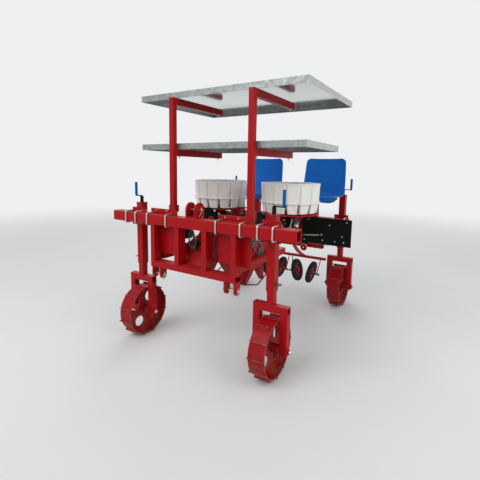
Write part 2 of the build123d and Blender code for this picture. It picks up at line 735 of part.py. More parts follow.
# Cups of each carousel, a hair apart, the disc that carries them on the hub, and the band round them
cup_outer = cup_solid(0, CUP_BOTTOM, CUP_TOP)
cup_hollow = cup_solid(CUP_WALL, CUP_BOTTOM + CUP_WALL, CUP_TOP + 1)
for name, side, turn in CAROUSELS:
    centre = (unit_x(side), CAROUSEL_Y)
    ring = [Location((*centre, 0), (0, 0, turn + 360 / CUP_COUNT * i)) for i in range(CUP_COUNT)]
    with BuildPart() as cups:
        with Locations(*ring):
            add(cup_outer)
            add(cup_hollow, mode=Mode.SUBTRACT)
    save(cups, f"cups_{name}")
    with BuildPart() as carousel:
        with Locations((*centre, CUP_BAND)):
            Cylinder(CARRIER_R, BAND_HEIGHT)
        with Locations((*centre, CUP_BAND + BAND_HEIGHT / 2)):
            Cylinder(
                CAROUSEL_HUB_R, CAROUSEL_HUB_HEIGHT, align=(Align.CENTER, Align.CENTER, Align.MAX)
            )
        with Locations(*ring):
            add(cup_outer, mode=Mode.SUBTRACT)
        with Locations((*centre, CUP_BAND)):
            Cylinder(CAROUSEL_SHAFT_R + RUNNING_GAP, 2 * CAROUSEL_HUB_HEIGHT, mode=Mode.SUBTRACT)
    save(carousel, f"carousel_{name}")
    with BuildPart() as cup_band:
        with Locations((*centre, CUP_BAND)):
            Cylinder(BAND_R, BAND_HEIGHT)
            Cylinder(BAND_R - BAND_WALL, BAND_HEIGHT, mode=Mode.SUBTRACT)
        with Locations((*centre, CUP_TOP - LIP_HEIGHT / 2)):
            Cylinder(LIP_R, LIP_HEIGHT)
            Cylinder(LIP_R - LIP_WALL, LIP_HEIGHT, mode=Mode.SUBTRACT)
        with Locations(*ring):
            add(cup_outer, mode=Mode.SUBTRACT)
    save(cup_band, f"cup_band_{name}")

# Decks under the carousels, with the column, the shaft and the drop chute
with BuildPart() as carousel_decks:
    for name, side in SIDES:
        centre = (unit_x(side), CAROUSEL_Y)
        deck_mid = DECK_TOP - DECK_THICK / 2
        with Locations((*centre, deck_mid)):
            Cylinder(DECK_R, DECK_THICK)
            Cylinder(DECK_INNER_R, DECK_THICK, mode=Mode.SUBTRACT)
            with PolarLocations(0, 4, start_angle=45):
                Box(2 * DECK_INNER_R + 20, 40, DECK_THICK)
            with PolarLocations(DECK_R - SCALLOP_R / 2, CUP_COUNT):
                Cylinder(SCALLOP_R, DECK_THICK)
        column_height = DECK_TOP - BEAM_TOP
        with Locations((*centre, BEAM_TOP + column_height / 2)):
            Cylinder(CAROUSEL_HUB_R, column_height)
        shaft_top = CUP_BAND + BAND_HEIGHT / 2 + 12
        with Locations((*centre, (DECK_TOP + shaft_top) / 2)):
            Cylinder(CAROUSEL_SHAFT_R, shaft_top - DECK_TOP)
        drop = (row_x(side), CAROUSEL_Y)
        with Locations((*drop, DECK_TOP - DECK_THICK - CHUTE_LENGTH / 2 + DECK_THICK / 2)):
            Cylinder(DROP_R + CHUTE_WALL, CHUTE_LENGTH + DECK_THICK)
            Cylinder(DROP_R, CHUTE_LENGTH + 3 * DECK_THICK, mode=Mode.SUBTRACT)
save(carousel_decks, "carousel_decks")

# Side plate of each row, from the clamping plate or the hitch post to the unit's cross tube
# row side, y where its side plate starts
PLATE_STARTS = ((-1, BAR_BACK), (1, BAR_BACK + UNIT_PLATE))
with BuildPart() as row_plates:
    for side, plate_start in PLATE_STARTS:
        plate_x = row_x(side) + side * SIDE_PLATE_OFF
        with BuildSketch(Plane.YZ.offset(plate_x - SIDE_PLATE / 2)):
            with BuildLine():
                Polyline(
                    (plate_start, 840),
                    (plate_start, 770),
                    (BAR_Y + 160, SIDE_PLATE_BOTTOM),
                    (BAR_Y + 764, SIDE_PLATE_BOTTOM),
                    (BAR_Y + 768, RAIL_TOP + 15),
                    (beam_y - UNIT_BEAM_HEIGHT / 2, RAIL_TOP + 15),
                    (beam_y - UNIT_BEAM_HEIGHT / 2, BEAM_TOP),
                    (BAR_Y + 300, BEAM_TOP),
                    (BAR_Y + 230, 860),
                    close=True,
                )
            make_face()
        extrude(amount=SIDE_PLATE)
save(row_plates, "row_plates")

# Black guards on the side plates, over the front of each planting wheel
with BuildPart() as wheel_guards:
    for name, side in SIDES:
        guard_x = row_x(side) + side * SIDE_PLATE_OFF
        with BuildSketch(Plane.YZ.offset(guard_x - GUARD_SHEET / 2)):
            with BuildLine():
                Polyline(
                    (BAR_Y + 310, BEAM_TOP),
                    (BAR_Y + 560, BEAM_TOP),
                    (BAR_Y + 545, 985),
                    (BAR_Y + 430, 1085),
                    (BAR_Y + 310, 1100),
                    close=True,
                )
            make_face()
        extrude(amount=GUARD_SHEET)
save(wheel_guards, "wheel_guards")

# Axles of the planting wheels
with BuildPart() as planter_axles:
    for name, side in SIDES:
        face_x = row_x(side) + side * (SIDE_PLATE_OFF - SIDE_PLATE / 2)
        with BuildSketch(Plane(origin=(face_x, PLANTER_Y, PLANTER_Z), z_dir=(-side, 0, 0))):
            Circle(PLANTER_AXLE_R)
        extrude(amount=SIDE_PLATE_GAP + 2 * PLANTER_HALF + 10)
save(planter_axles, "planter_axles")

# Hoops round the lower half of each planting wheel, welded under the side plates
with BuildPart() as guard_hoops:
    for name, side in SIDES:
        hoop_plane = Plane(
            origin=(row_x(side) + side * SIDE_PLATE_OFF, BAR_Y, 0), x_dir=(0, 1, 0), z_dir=(1, 0, 0)
        )
        with BuildLine(hoop_plane) as hoop:
            FilletPolyline(
                (190, SIDE_PLATE_BOTTOM),
                (190, 573),
                (455, 500),
                (700, 590),
                (748, 685),
                (748, SIDE_PLATE_BOTTOM),
                radius=HOOP_BEND_R,
            )
        with BuildSketch(Plane(origin=hoop.line @ 0, z_dir=(0, 0, -1))):
            RegularPolygon(HOOP_ROD_R, ROD_SIDES)
        sweep(path=hoop.line)
save(guard_hoops, "guard_hoops")

# Planting wheels: hub, disc and radial bills
for name, side in SIDES:
    x = row_x(side)
    with BuildPart() as planter:
        with BuildSketch(Plane(origin=(x - PLANTER_HALF, PLANTER_Y, PLANTER_Z), z_dir=(1, 0, 0))):
            Circle(PLANTER_HUB_R)
        extrude(amount=2 * PLANTER_HALF)
        for offset in (-BILL_WIDTH / 2, BILL_WIDTH / 2 - PLANTER_DISC):
            with BuildSketch(Plane(origin=(x + offset, PLANTER_Y, PLANTER_Z), z_dir=(1, 0, 0))):
                Circle(PLANTER_DISC_R)
            extrude(amount=PLANTER_DISC)
        for i in range(BILL_COUNT):
            angle = BILL_START_DEG + 360 / BILL_COUNT * i
            out = Vector(0, math.cos(math.radians(angle)), math.sin(math.radians(angle)))
            root = Vector(x, PLANTER_Y, PLANTER_Z) + out * BILL_ROOT_R
            tip = Vector(x, PLANTER_Y, PLANTER_Z) + out * PLANTER_R
            shoulder = (root * 3 + tip * 2) / 5
            with BuildSketch(Plane(origin=root, x_dir=(1, 0, 0), z_dir=out)):
                Rectangle(BILL_WIDTH, BILL_ROOT_WIDTH)
            with BuildSketch(Plane(origin=shoulder, x_dir=(1, 0, 0), z_dir=out)):
                Rectangle(BILL_WIDTH * 0.9, BILL_ROOT_WIDTH * 0.86)
            with BuildSketch(Plane(origin=tip, x_dir=(1, 0, 0), z_dir=out)):
                Rectangle(BILL_WIDTH * 0.6, BILL_TIP_WIDTH)
            loft(ruled=True)
        with BuildSketch(Plane(origin=(x - BILL_WIDTH, PLANTER_Y, PLANTER_Z), z_dir=(1, 0, 0))):
            Circle(PLANTER_AXLE_R + RUNNING_GAP)
        extrude(amount=2 * BILL_WIDTH, mode=Mode.SUBTRACT)
    save(planter, f"planting_wheel_{name}")

# Seat stands: a post on the rear beam, an arm forward from it and a plate under the seat
SEAT_PLATE = 8.0
SEAT_PLATE_WIDTH = 250.0
SEAT_PLATE_DEPTH = 180.0
SEAT_STAND_TOP = SEAT_PAN_Z - SEAT_SHELL / 2
with BuildPart() as seat_stands:
    for name, side in SIDES:
        post_x = unit_x(side) - SEAT_POST_OFF
        post_y = REAR_BAR_Y + BAR / 2
        arm_top = SEAT_STAND_TOP - SEAT_PLATE
        extrude(
            tube_section(
                Plane.XY.offset(REAR_BAR_TOP), post_x, post_y, SEAT_POST, SEAT_POST, UNIT_BEAM_WALL
            ),
            amount=arm_top - SEAT_ARM_HEIGHT - REAR_BAR_TOP,
        )
        arm_start = BAR_Y + SEAT_ARM_FRONT_BACK
        extrude(
            tube_section(
                facing_back(post_x, arm_start, arm_top - SEAT_ARM_HEIGHT / 2),
                0, 0, SEAT_POST, SEAT_ARM_HEIGHT, UNIT_BEAM_WALL,
            ),
            amount=post_y + SEAT_POST / 2 - arm_start,
        )
        with Locations((unit_x(side), SEAT_Y, SEAT_STAND_TOP - SEAT_PLATE / 2)):
            Box(SEAT_PLATE_WIDTH, SEAT_PLATE_DEPTH, SEAT_PLATE)
save(seat_stands, "seat_stands")

# Seat shells: rolled front edge, leaning back with a slot, rounded corners
SEAT_BACK_TOP = 362.0
with BuildPart() as seats:
    for name, side in SIDES:
        with BuildSketch(Plane.YZ.offset(unit_x(side) - SEAT_WIDTH / 2)):
            with BuildLine():
                FilletPolyline(
                    (SEAT_Y - 196, SEAT_PAN_Z - 34),
                    (SEAT_Y - 186, SEAT_PAN_Z + 26),
                    (SEAT_Y - 120, SEAT_PAN_Z),
                    (SEAT_Y + 120, SEAT_PAN_Z),
                    (SEAT_Y + 178, SEAT_PAN_Z + 150),
                    (SEAT_Y + 205, SEAT_PAN_Z + SEAT_BACK_TOP),
                    radius=24,
                )
            trace(line_width=SEAT_SHELL)
        extrude(amount=SEAT_WIDTH)
    with BuildSketch(facing_front(UNIT_SHIFT, SEAT_Y + 300, SEAT_PAN_Z + SEAT_BACK_TOP - 500)):
        with GridLocations(UNIT_PITCH, 0, 2, 1):
            RectangleRounded(SEAT_WIDTH, 1000, SEAT_CORNER_R)
    extrude(amount=600, mode=Mode.INTERSECT)
    with BuildSketch(Plane.XY.offset(SEAT_PAN_Z - 100)):
        with Locations((UNIT_SHIFT, SEAT_Y - 200 + 500)):
            with GridLocations(UNIT_PITCH, 0, 2, 1):
                RectangleRounded(SEAT_WIDTH, 1000, SEAT_CORNER_R)
    extrude(amount=700, mode=Mode.INTERSECT)
    with BuildSketch(facing_front(UNIT_SHIFT, SEAT_Y + 300, SEAT_PAN_Z + SEAT_BACK_TOP - 38)):
        with GridLocations(UNIT_PITCH, 0, 2, 1):
            SlotOverall(SEAT_SLOT, SEAT_SLOT_HEIGHT)
    extrude(amount=200, mode=Mode.SUBTRACT)
save(seats, "seats")

# Guard panels in front of the rear beam, on spacers, cut out round the left main beam
PANEL_SPACERS = (0.12, 0.55)
SPACER = 30.0
with BuildPart() as guard_panels:
    for name, side in SIDES:
        inner = UNIT_SHIFT + side * (PANEL_INNER - UNIT_SHIFT)
        outer = UNIT_SHIFT + side * (PANEL_OUTER - UNIT_SHIFT)
        with BuildSketch(facing_front(0, REAR_BAR_Y - PANEL_GAP, 0)):
            with BuildLine():
                Polyline(
                    (inner, PANEL_TOP),
                    (outer, PANEL_TOP),
                    (outer, PANEL_BOTTOM),
                    (inner + side * PANEL_CUT, PANEL_BOTTOM),
                    close=True,
                )
            make_face()
            with Locations((side * MAIN_X, MAIN_Z)):
                Rectangle(
                    MAIN_WIDTH + 2 * PANEL_NOTCH_GAP, MAIN_HEIGHT + 2 * PANEL_NOTCH_GAP, mode=Mode.SUBTRACT
                )
        extrude(amount=PANEL_THICK)
        for share in PANEL_SPACERS:
            spacer_x = inner + share * (outer - inner)
            with BuildSketch(facing_front(spacer_x, REAR_BAR_Y, REAR_BAR_Z)):
                Rectangle(SPACER, SPACER)
            extrude(amount=PANEL_GAP)
save(guard_panels, "guard_panels")

# Press wheels: tyre and rim, tilted so that each pair is wider at the top
# name, row side, wheel side, how far its rod leans in x up to the cross bar
PRESS_WHEELS = (("1", -1, -1, -37), ("2", -1, 1, 37), ("3", 1, -1, 4), ("4", 1, 1, 37))


def press_plane(side, wheel_side):
    """Plane of a press wheel: its normal is the axle, pointing away from the row."""
    tilt = math.radians(PRESS_TILT)
    axle = (wheel_side * math.cos(tilt), 0, -math.sin(tilt))
    centre = (row_x(side) + wheel_side * PRESS_HALF, PRESS_Y, PRESS_Z)
    return Plane(origin=centre, x_dir=(0, 1, 0), z_dir=axle)


for name, side, wheel_side, lean in PRESS_WHEELS:
    axle_plane = press_plane(side, wheel_side)
    with BuildPart() as press_tyre:
        with BuildSketch(axle_plane.offset(-PRESS_WIDTH / 2)):
            Circle(PRESS_R)
            Circle(PRESS_RIM_R + 0.3, mode=Mode.SUBTRACT)
        extrude(amount=PRESS_WIDTH)
        chamfer(press_tyre.edges().filter_by(GeomType.CIRCLE).group_by(SortBy.RADIUS)[-1], PRESS_SHOULDER)
    save(press_tyre, f"press_tyre_{name}")
    with BuildPart() as press_rim:
        with BuildSketch(axle_plane.offset(-PRESS_WIDTH / 2 + 4)):
            Circle(PRESS_RIM_R)
            Circle(PRESS_RIM_R - 6, mode=Mode.SUBTRACT)
        extrude(amount=PRESS_WIDTH - 8)
        with BuildSketch(axle_plane.offset(-4)):
            Circle(PRESS_RIM_R - 3)
        extrude(amount=8)
        with BuildSketch(axle_plane.offset(-PRESS_WIDTH / 2)):
            Circle(22)
        extrude(amount=PRESS_WIDTH)
        with BuildSketch(axle_plane.offset(-PRESS_WIDTH / 2)):
            Circle(PRESS_BORE_R + RUNNING_GAP)
        extrude(amount=PRESS_WIDTH, mode=Mode.SUBTRACT)
    save(press_rim, f"press_rim_{name}")

# Cross bar of the press wheels
with BuildPart() as press_bar:
    bar_half = ROW_PITCH / 2 + PRESS_HALF + PRESS_BAR_OVER
    with Locations((UNIT_SHIFT, PRESS_Y, PRESS_BAR_TOP - PRESS_BAR / 2)):
        Box(2 * bar_half, PRESS_BAR, PRESS_BAR)
save(press_bar, "press_bar")

# Stub axles of the press wheels with their eyes, and the rods that hang them from the cross bar
press_bar_bottom = PRESS_BAR_TOP - PRESS_BAR
with BuildPart() as press_axles:
    for name, side, wheel_side, lean in PRESS_WHEELS:
        axle_plane = press_plane(side, wheel_side)
        with BuildSketch(axle_plane.offset(-PRESS_WIDTH / 2 - 4)):
            Circle(PRESS_BORE_R)
        extrude(amount=PRESS_WIDTH / 2 + 4 + PRESS_STUB_END)
        with BuildSketch(axle_plane.offset(PRESS_STUB - PRESS_EYE / 2)):
            Circle(PRESS_EYE_R)
        extrude(amount=PRESS_EYE)
save(press_axles, "press_axles")

with BuildPart() as press_hangers:
    for name, side, wheel_side, lean in PRESS_WHEELS:
        axle_plane = press_plane(side, wheel_side)
        eye = axle_plane.origin + axle_plane.z_dir * PRESS_STUB
        head = Vector(eye.X + lean, PRESS_Y, press_bar_bottom + PRESS_ROD_R)
        with BuildSketch(Plane(origin=eye, z_dir=head - eye)):
            Circle(PRESS_ROD_R)
        extrude(amount=(head - eye).length)
    for cut in (press_axles, press_bar):
        add(cut.part, mode=Mode.SUBTRACT)
save(press_hangers, "press_hangers")

# Trailing arms from a tube under the main beams back to the cross bar
with BuildPart() as press_arms:
    tie_y = BAR_Y + PRESS_TIE_BACK
    tie_bottom = RAIL_TOP - RAIL
    tie_start = -MAIN_X - MAIN_WIDTH / 2
    extrude(
        tube_section(Plane.YZ.offset(tie_start), tie_y, RAIL_TOP - RAIL / 2, RAIL, RAIL, RAIL_WALL),
        amount=row_x(1) + RAIL - tie_start,
    )
    for name, side in SIDES:
        with BuildSketch(Plane.YZ.offset(row_x(side) - PRESS_ARM / 2)):
            with BuildLine():
                ThreePointArc(
                    (tie_y + RAIL / 2 - 2, tie_bottom),
                    (tie_y + 156, tie_bottom - 98),
                    (PRESS_Y + PRESS_BAR / 2, PRESS_BAR_TOP),
                )
                Line((PRESS_Y + PRESS_BAR / 2, PRESS_BAR_TOP), (PRESS_Y - PRESS_BAR / 2, PRESS_BAR_TOP))
                ThreePointArc(
                    (PRESS_Y - PRESS_BAR / 2, PRESS_BAR_TOP),
                    (tie_y + 147, tie_bottom - 131),
                    (tie_y - RAIL / 2 + 2, tie_bottom),
                )
                Line((tie_y - RAIL / 2 + 2, tie_bottom), (tie_y + RAIL / 2 - 2, tie_bottom))
            make_face()
        extrude(amount=PRESS_ARM)
save(press_arms, "press_arms")
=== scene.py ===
import json
import math
import random

import bmesh
import bpy
from mathutils import Matrix, Vector


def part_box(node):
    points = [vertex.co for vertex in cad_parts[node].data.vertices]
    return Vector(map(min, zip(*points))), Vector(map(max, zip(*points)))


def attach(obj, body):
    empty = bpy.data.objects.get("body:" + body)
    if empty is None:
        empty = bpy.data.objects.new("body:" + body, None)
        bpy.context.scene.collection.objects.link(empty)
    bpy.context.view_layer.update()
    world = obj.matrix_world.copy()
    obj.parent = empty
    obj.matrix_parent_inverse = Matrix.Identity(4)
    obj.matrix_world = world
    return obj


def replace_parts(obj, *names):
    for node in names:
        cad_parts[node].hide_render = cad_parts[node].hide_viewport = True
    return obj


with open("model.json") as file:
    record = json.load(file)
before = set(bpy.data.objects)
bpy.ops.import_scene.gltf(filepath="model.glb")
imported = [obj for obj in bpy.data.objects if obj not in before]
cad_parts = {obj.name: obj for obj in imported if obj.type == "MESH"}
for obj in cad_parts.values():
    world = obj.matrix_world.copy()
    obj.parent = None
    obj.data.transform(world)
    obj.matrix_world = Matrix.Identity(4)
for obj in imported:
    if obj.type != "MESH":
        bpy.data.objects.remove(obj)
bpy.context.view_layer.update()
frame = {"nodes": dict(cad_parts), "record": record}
nodes = frame["nodes"]
random.seed(7)

# Camera of the photograph: place in metres, heading, fall and roll in degrees
CAM_PLACE, CAM_HEADING, CAM_FALL, CAM_ROLL = (1.613, -2.808, 1.415), 31.99, 7.41, 0.94
CAM_LENS, CAM_SHIFT = 26.27, -0.0542
scene = bpy.context.scene
cam_data = bpy.data.cameras.new("camera")
cam_data.sensor_width = 36.0
cam_data.lens = CAM_LENS
cam_data.shift_y = CAM_SHIFT
cam_data.clip_end = 60.0
camera = bpy.data.objects.new("camera", cam_data)
scene.collection.objects.link(camera)
camera.matrix_world = (
    Matrix.Translation(CAM_PLACE)
    @ Matrix.Rotation(math.radians(CAM_HEADING), 4, "Z")
    @ Matrix.Rotation(math.radians(90 - CAM_FALL), 4, "X")
    @ Matrix.Rotation(math.radians(CAM_ROLL), 4, "Z")
)
scene.camera = camera
scene.view_settings.view_transform = "Standard"


# Sockets of a colour mix node
MIX_FACTOR, MIX_A, MIX_B, MIX_RESULT = 0, 6, 7, 2


class Shader:
    """A node material with its output shader and small helpers to wire it."""

    def __init__(self, name, **constants):
        self.mat = bpy.data.materials.new(name)
        self.mat.use_nodes = True
        self.tree = self.mat.node_tree
        self.tree.nodes.clear()
        self.out = self.new("ShaderNodeOutputMaterial")
        self.bsdf = self.new("ShaderNodeBsdfPrincipled")
        self.link(self.bsdf, "BSDF", self.out, "Surface")
        for key, value in constants.items():
            self.bsdf.inputs[key.replace("_", " ")].default_value = value
        self.coords = self.new("ShaderNodeTexCoord")

    def new(self, kind, **props):
        node = self.tree.nodes.new(kind)
        for key, value in props.items():
            setattr(node, key, value)
        return node

    def link(self, a, out, b, inp):
        self.tree.links.new(a.outputs[out], b.inputs[inp])

    def noise(self, scale, detail=4.0, rough=0.55):
        node = self.new("ShaderNodeTexNoise")
        node.inputs["Scale"].default_value = scale
        node.inputs["Detail"].default_value = detail
        node.inputs["Roughness"].default_value = rough
        self.link(self.coords, "Object", node, "Vector")
        return node

    def ramp(self, source, output, stops):
        """stops: position, colour."""
        node = self.new("ShaderNodeValToRGB")
        ramp = node.color_ramp
        while len(ramp.elements) < len(stops):
            ramp.elements.new(0.5)
        for element, (position, colour) in zip(ramp.elements, stops):
            element.position = position
            element.color = (*colour, 1)
        self.link(source, output, node, "Fac")
        return node

    def grey(self, noise, low, high, stops=(0.3, 0.8)):
        """Grey from low to high between two stops of a noise: (node, output)."""
        node = self.ramp(noise, "Fac", [(stops[0], (low,) * 3), (stops[1], (high,) * 3)])
        return (node, "Color")

    def mix(self, a, b, factor):
        """a, b and factor: a value or a (node, output) pair."""
        node = self.new("ShaderNodeMix", data_type="RGBA")
        for index, value in ((MIX_FACTOR, factor), (MIX_A, a), (MIX_B, b)):
            if isinstance(value, tuple) and hasattr(value[0], "outputs"):
                self.tree.links.new(value[0].outputs[value[1]], node.inputs[index])
            elif index == MIX_FACTOR:
                node.inputs[index].default_value = value
            else:
                node.inputs[index].default_value = (*value, 1)
        return (node, MIX_RESULT)

    def math(self, kind, a, b=0.5, clamp=False):
        node = self.new("ShaderNodeMath", operation=kind, use_clamp=clamp)
        for index, value in ((0, a), (1, b)):
            if isinstance(value, tuple):
                self.tree.links.new(value[0].outputs[value[1]], node.inputs[index])
            else:
                node.inputs[index].default_value = value
        return (node, 0)

    def facing_up(self):
        """1 where the surface faces up."""
        geometry = self.new("ShaderNodeNewGeometry")
        split = self.new("ShaderNodeSeparateXYZ")
        self.link(geometry, "Normal", split, "Vector")
        return self.math("MULTIPLY", (split, 2), 1.0, clamp=True)

    def wear(self, radius=0.004, low=0.86, high=0.99):
        """1 along sharp edges: the rounded normal differs from the true one."""
        bevel = self.new("ShaderNodeBevel", samples=4)
        bevel.inputs["Radius"].default_value = radius
        geometry = self.new("ShaderNodeNewGeometry")
        dot = self.new("ShaderNodeVectorMath", operation="DOT_PRODUCT")
        self.link(bevel, "Normal", dot, 0)
        self.link(geometry, "Normal", dot, 1)
        span = self.new("ShaderNodeMapRange")
        span.inputs["From Min"].default_value = low
        span.inputs["From Max"].default_value = high
        span.inputs["To Min"].default_value = 1.0
        span.inputs["To Max"].default_value = 0.0
        self.link(dot, "Value", span, "Value")
        return (span, 0)

    def feed(self, pair, socket):
        self.tree.links.new(pair[0].outputs[pair[1]], self.bsdf.inputs[socket])

    def colour(self, pair):
        self.feed(pair, "Base Color")

    def roughness(self, pair):
        self.feed(pair, "Roughness")

    def bump(self, pair, strength, distance, edge=0.0):
        node = self.new("ShaderNodeBump")
        node.inputs["Strength"].default_value = strength
        node.inputs["Distance"].default_value = distance
        self.tree.links.new(pair[0].outputs[pair[1]], node.inputs["Height"])
        if edge:
            bevel = self.new("ShaderNodeBevel", samples=4)
            bevel.inputs["Radius"].default_value = edge
            self.link(bevel, "Normal", node, "Normal")
        self.link(node, "Normal", self.bsdf, "Normal")


def red_paint():
    s = Shader(
        "red_paint", Metallic=0.0, Specular_IOR_Level=0.13, Coat_Weight=0.035, Coat_Roughness=0.12
    )
    patches = s.noise(3.5, 3)
    fine = s.noise(60.0, 5)
    base = s.mix((0.36, 0.003, 0.006), (0.27, 0.0025, 0.005), (patches, "Fac"))
    dust = s.math("MULTIPLY", s.facing_up(), (s.noise(11.0, 6, 0.65), "Fac"), clamp=True)
    dust = s.math("MULTIPLY", dust, 0.16)
    dusty = s.mix(base, (0.36, 0.17, 0.13), dust)
    flecks = s.grey(s.noise(35.0, 4), 0, 1, (0.45, 0.62))
    scuff = s.math("MULTIPLY", s.wear(0.003), flecks)
    scuff = s.math("MULTIPLY", scuff, 0.35)
    s.colour(s.mix(dusty, (0.42, 0.07, 0.06), scuff))
    s.roughness(s.grey(fine, 0.30, 0.44, (0.3, 0.75)))
    s.bump((s.noise(240.0, 2), "Fac"), 0.05, 0.0006, edge=0.0018)
    return s.mat


def galvanised():
    """Spangled zinc on top and on the lips, with painted light on the ends, which are painted
    lighter as if lit, smooth and bright underneath.
    """
    s = Shader("galvanised")
    spangle = s.new("ShaderNodeTexVoronoi")
    spangle.inputs["Scale"].default_value = 60.0
    s.link(s.coords, "Object", spangle, "Vector")
    cells = s.ramp(spangle, "Color", [(0.0, (0.20, 0.225, 0.22)), (1.0, (0.36, 0.385, 0.375))])
    cloud = s.grey(s.noise(21.0, 6, 0.72), 0, 1, (0.40, 0.60))
    mottled = s.mix((cells, "Color"), (0.11, 0.135, 0.13), s.math("MULTIPLY", cloud, 0.75))
    streak = s.noise(3.0, 4, 0.6)
    lips = s.mix(mottled, (0.40, 0.41, 0.40), s.math("MULTIPLY", (streak, "Fac"), 0.45))
    geometry = s.new("ShaderNodeNewGeometry")
    split = s.new("ShaderNodeSeparateXYZ")
    s.link(geometry, "Normal", split, "Vector")
    # Painted light: faces turned towards the sides, the ends of the trays, get a lighter colour as
    # if lit.
    ends = s.math("ABSOLUTE", (split, 0))
    lips = s.mix(lips, (0.52, 0.53, 0.51), s.math("MULTIPLY", ends, 0.65))
    under = s.math("MULTIPLY", (split, 2), -1.0, clamp=True)
    under = s.math("GREATER_THAN", under, 0.7)
    sheet = s.mix((0.66, 0.67, 0.66), (0.58, 0.59, 0.585), (streak, "Fac"))
    s.colour(s.mix(lips, sheet, under))
    rough = s.ramp(*cloud, [(0.0, (0.30,) * 3), (1.0, (0.46,) * 3)])
    smooth = s.grey(streak, 0.09, 0.16, (0.3, 0.7))
    s.roughness(s.mix((rough, "Color"), smooth, under))
    s.feed(s.mix((0.55,) * 3, (0.95,) * 3, under), "Metallic")
    s.bump((s.noise(6.0, 2), "Fac"), 0.08, 0.003, edge=0.002)
    return s.mat


def zinc_steel():
    s = Shader("zinc_steel", Metallic=0.9)
    fine = s.noise(90.0, 4)
    s.colour(s.mix((0.66, 0.62, 0.53), (0.50, 0.47, 0.41), (fine, "Fac")))
    s.roughness(s.grey(fine, 0.26, 0.45))
    s.bump((fine, "Fac"), 0.08, 0.0004, edge=0.001)
    return s.mat


def dark_steel():
    s = Shader("dark_steel", Metallic=0.75)
    patches = s.noise(14.0, 6, 0.6)
    fine = s.noise(120.0, 4)
    s.colour(s.mix((0.20, 0.19, 0.18), (0.09, 0.075, 0.065), (patches, "Fac")))
    s.roughness(s.grey(fine, 0.34, 0.56))
    s.bump((fine, "Fac"), 0.12, 0.0005, edge=0.001)
    return s.mat


def black_steel():
    s = Shader("black_steel", Metallic=0.0, Specular_IOR_Level=0.15, IOR=1.35)
    fine = s.noise(150.0, 4)
    patches = s.noise(6.0, 4)
    base = s.mix((0.004, 0.005, 0.0045), (0.009, 0.010, 0.009), (patches, "Fac"))
    s.colour(s.mix(base, (0.10, 0.09, 0.08), s.math("MULTIPLY", s.wear(0.003), 0.35)))
    s.roughness(s.grey(fine, 0.38, 0.55))
    s.bump((fine, "Fac"), 0.12, 0.0005, edge=0.0015)
    return s.mat


def ivory_plastic():
    s = Shader("ivory_plastic", Metallic=0.0, Subsurface_Weight=0.12, Subsurface_Scale=0.01)
    patches = s.noise(7.0, 4)
    base = s.mix((0.80, 0.785, 0.74), (0.72, 0.705, 0.66), (patches, "Fac"))
    stains = s.grey(s.noise(28.0, 6, 0.7), 0, 1, (0.62, 0.85))
    s.colour(s.mix(base, (0.50, 0.46, 0.38), s.math("MULTIPLY", stains, 0.3)))
    fine = s.noise(220.0, 3)
    s.roughness(s.grey(fine, 0.40, 0.52))
    s.bump((fine, "Fac"), 0.06, 0.0004, edge=0.0012)
    return s.mat


BLUE_LIGHT, BLUE_DARK = (0.008, 0.150, 0.55), (0.006, 0.125, 0.46)


def blue_plastic(name="blue_plastic", shade=1.0):
    """shade: how much of the colour stays."""
    s = Shader(name, Metallic=0.0, Specular_IOR_Level=0.14, IOR=1.35)
    patches = s.noise(4.0, 4)
    light, dark = (tuple(part * shade for part in colour) for colour in (BLUE_LIGHT, BLUE_DARK))
    base = s.mix(light, dark, (patches, "Fac"))
    dust = s.math("MULTIPLY", s.facing_up(), (s.noise(16.0, 6, 0.7), "Fac"), clamp=True)
    s.colour(s.mix(base, (0.22, 0.27, 0.36), s.math("MULTIPLY", dust, 0.12)))
    fine = s.noise(300.0, 3)
    s.roughness(s.grey(fine, 0.40, 0.52))
    s.bump((fine, "Fac"), 0.08, 0.0004, edge=0.002)
    return s.mat


def black_rubber():
    s = Shader("black_rubber", Metallic=0.0, Specular_IOR_Level=0.14, IOR=1.4)
    patches = s.noise(9.0, 5, 0.6)
    s.colour(s.mix((0.012, 0.012, 0.013), (0.030, 0.028, 0.026), (patches, "Fac")))
    fine = s.noise(260.0, 4)
    s.roughness(s.grey(fine, 0.62, 0.82))
    s.bump((fine, "Fac"), 0.2, 0.0006, edge=0.002)
    return s.mat


# Heights in metres between which the soil on the wheels thickens
SOIL_TOP, SOIL_FULL = 0.30, 0.02


def soil_red():
    """Red paint worn to steel along edges, with dried soil low down."""
    s = Shader("soil_red", Specular_IOR_Level=0.13)
    patches = s.noise(5.0, 3)
    base = s.mix((0.30, 0.0035, 0.007), (0.22, 0.003, 0.005), (patches, "Fac"))
    chips = s.grey(s.noise(48.0, 5, 0.6), 0, 1, (0.42, 0.55))
    bare = s.math("MULTIPLY", s.wear(0.006, 0.80, 0.985), chips, clamp=True)
    painted = s.mix(base, (0.34, 0.29, 0.27), s.math("MULTIPLY", bare, 0.75))
    split = s.new("ShaderNodeSeparateXYZ")
    s.link(s.coords, "Object", split, "Vector")
    low = s.new("ShaderNodeMapRange")
    low.inputs["From Min"].default_value = SOIL_TOP
    low.inputs["From Max"].default_value = SOIL_FULL
    s.link(split, "Z", low, "Value")
    crust = s.grey(s.noise(17.0, 7, 0.68), 0, 1, (0.44, 0.60))
    soil = s.math("MULTIPLY", (low, 0), crust, clamp=True)
    soil = s.math("MULTIPLY", soil, 0.5)
    s.colour(s.mix(painted, (0.17, 0.115, 0.075), soil))
    s.roughness(s.mix((0.36,) * 3, (0.9,) * 3, soil))
    s.bump((s.noise(140.0, 4), "Fac"), 0.12, 0.0008, edge=0.002)
    return s.mat


MATERIALS = {
    "red_paint": red_paint(),
    "galvanised": galvanised(),
    "zinc_steel": zinc_steel(),
    "dark_steel": dark_steel(),
    "black_steel": black_steel(),
    "ivory_plastic": ivory_plastic(),
    "blue_plastic": blue_plastic(),
    "black_tyre": black_rubber(),
}

SOIL_RED = soil_red()
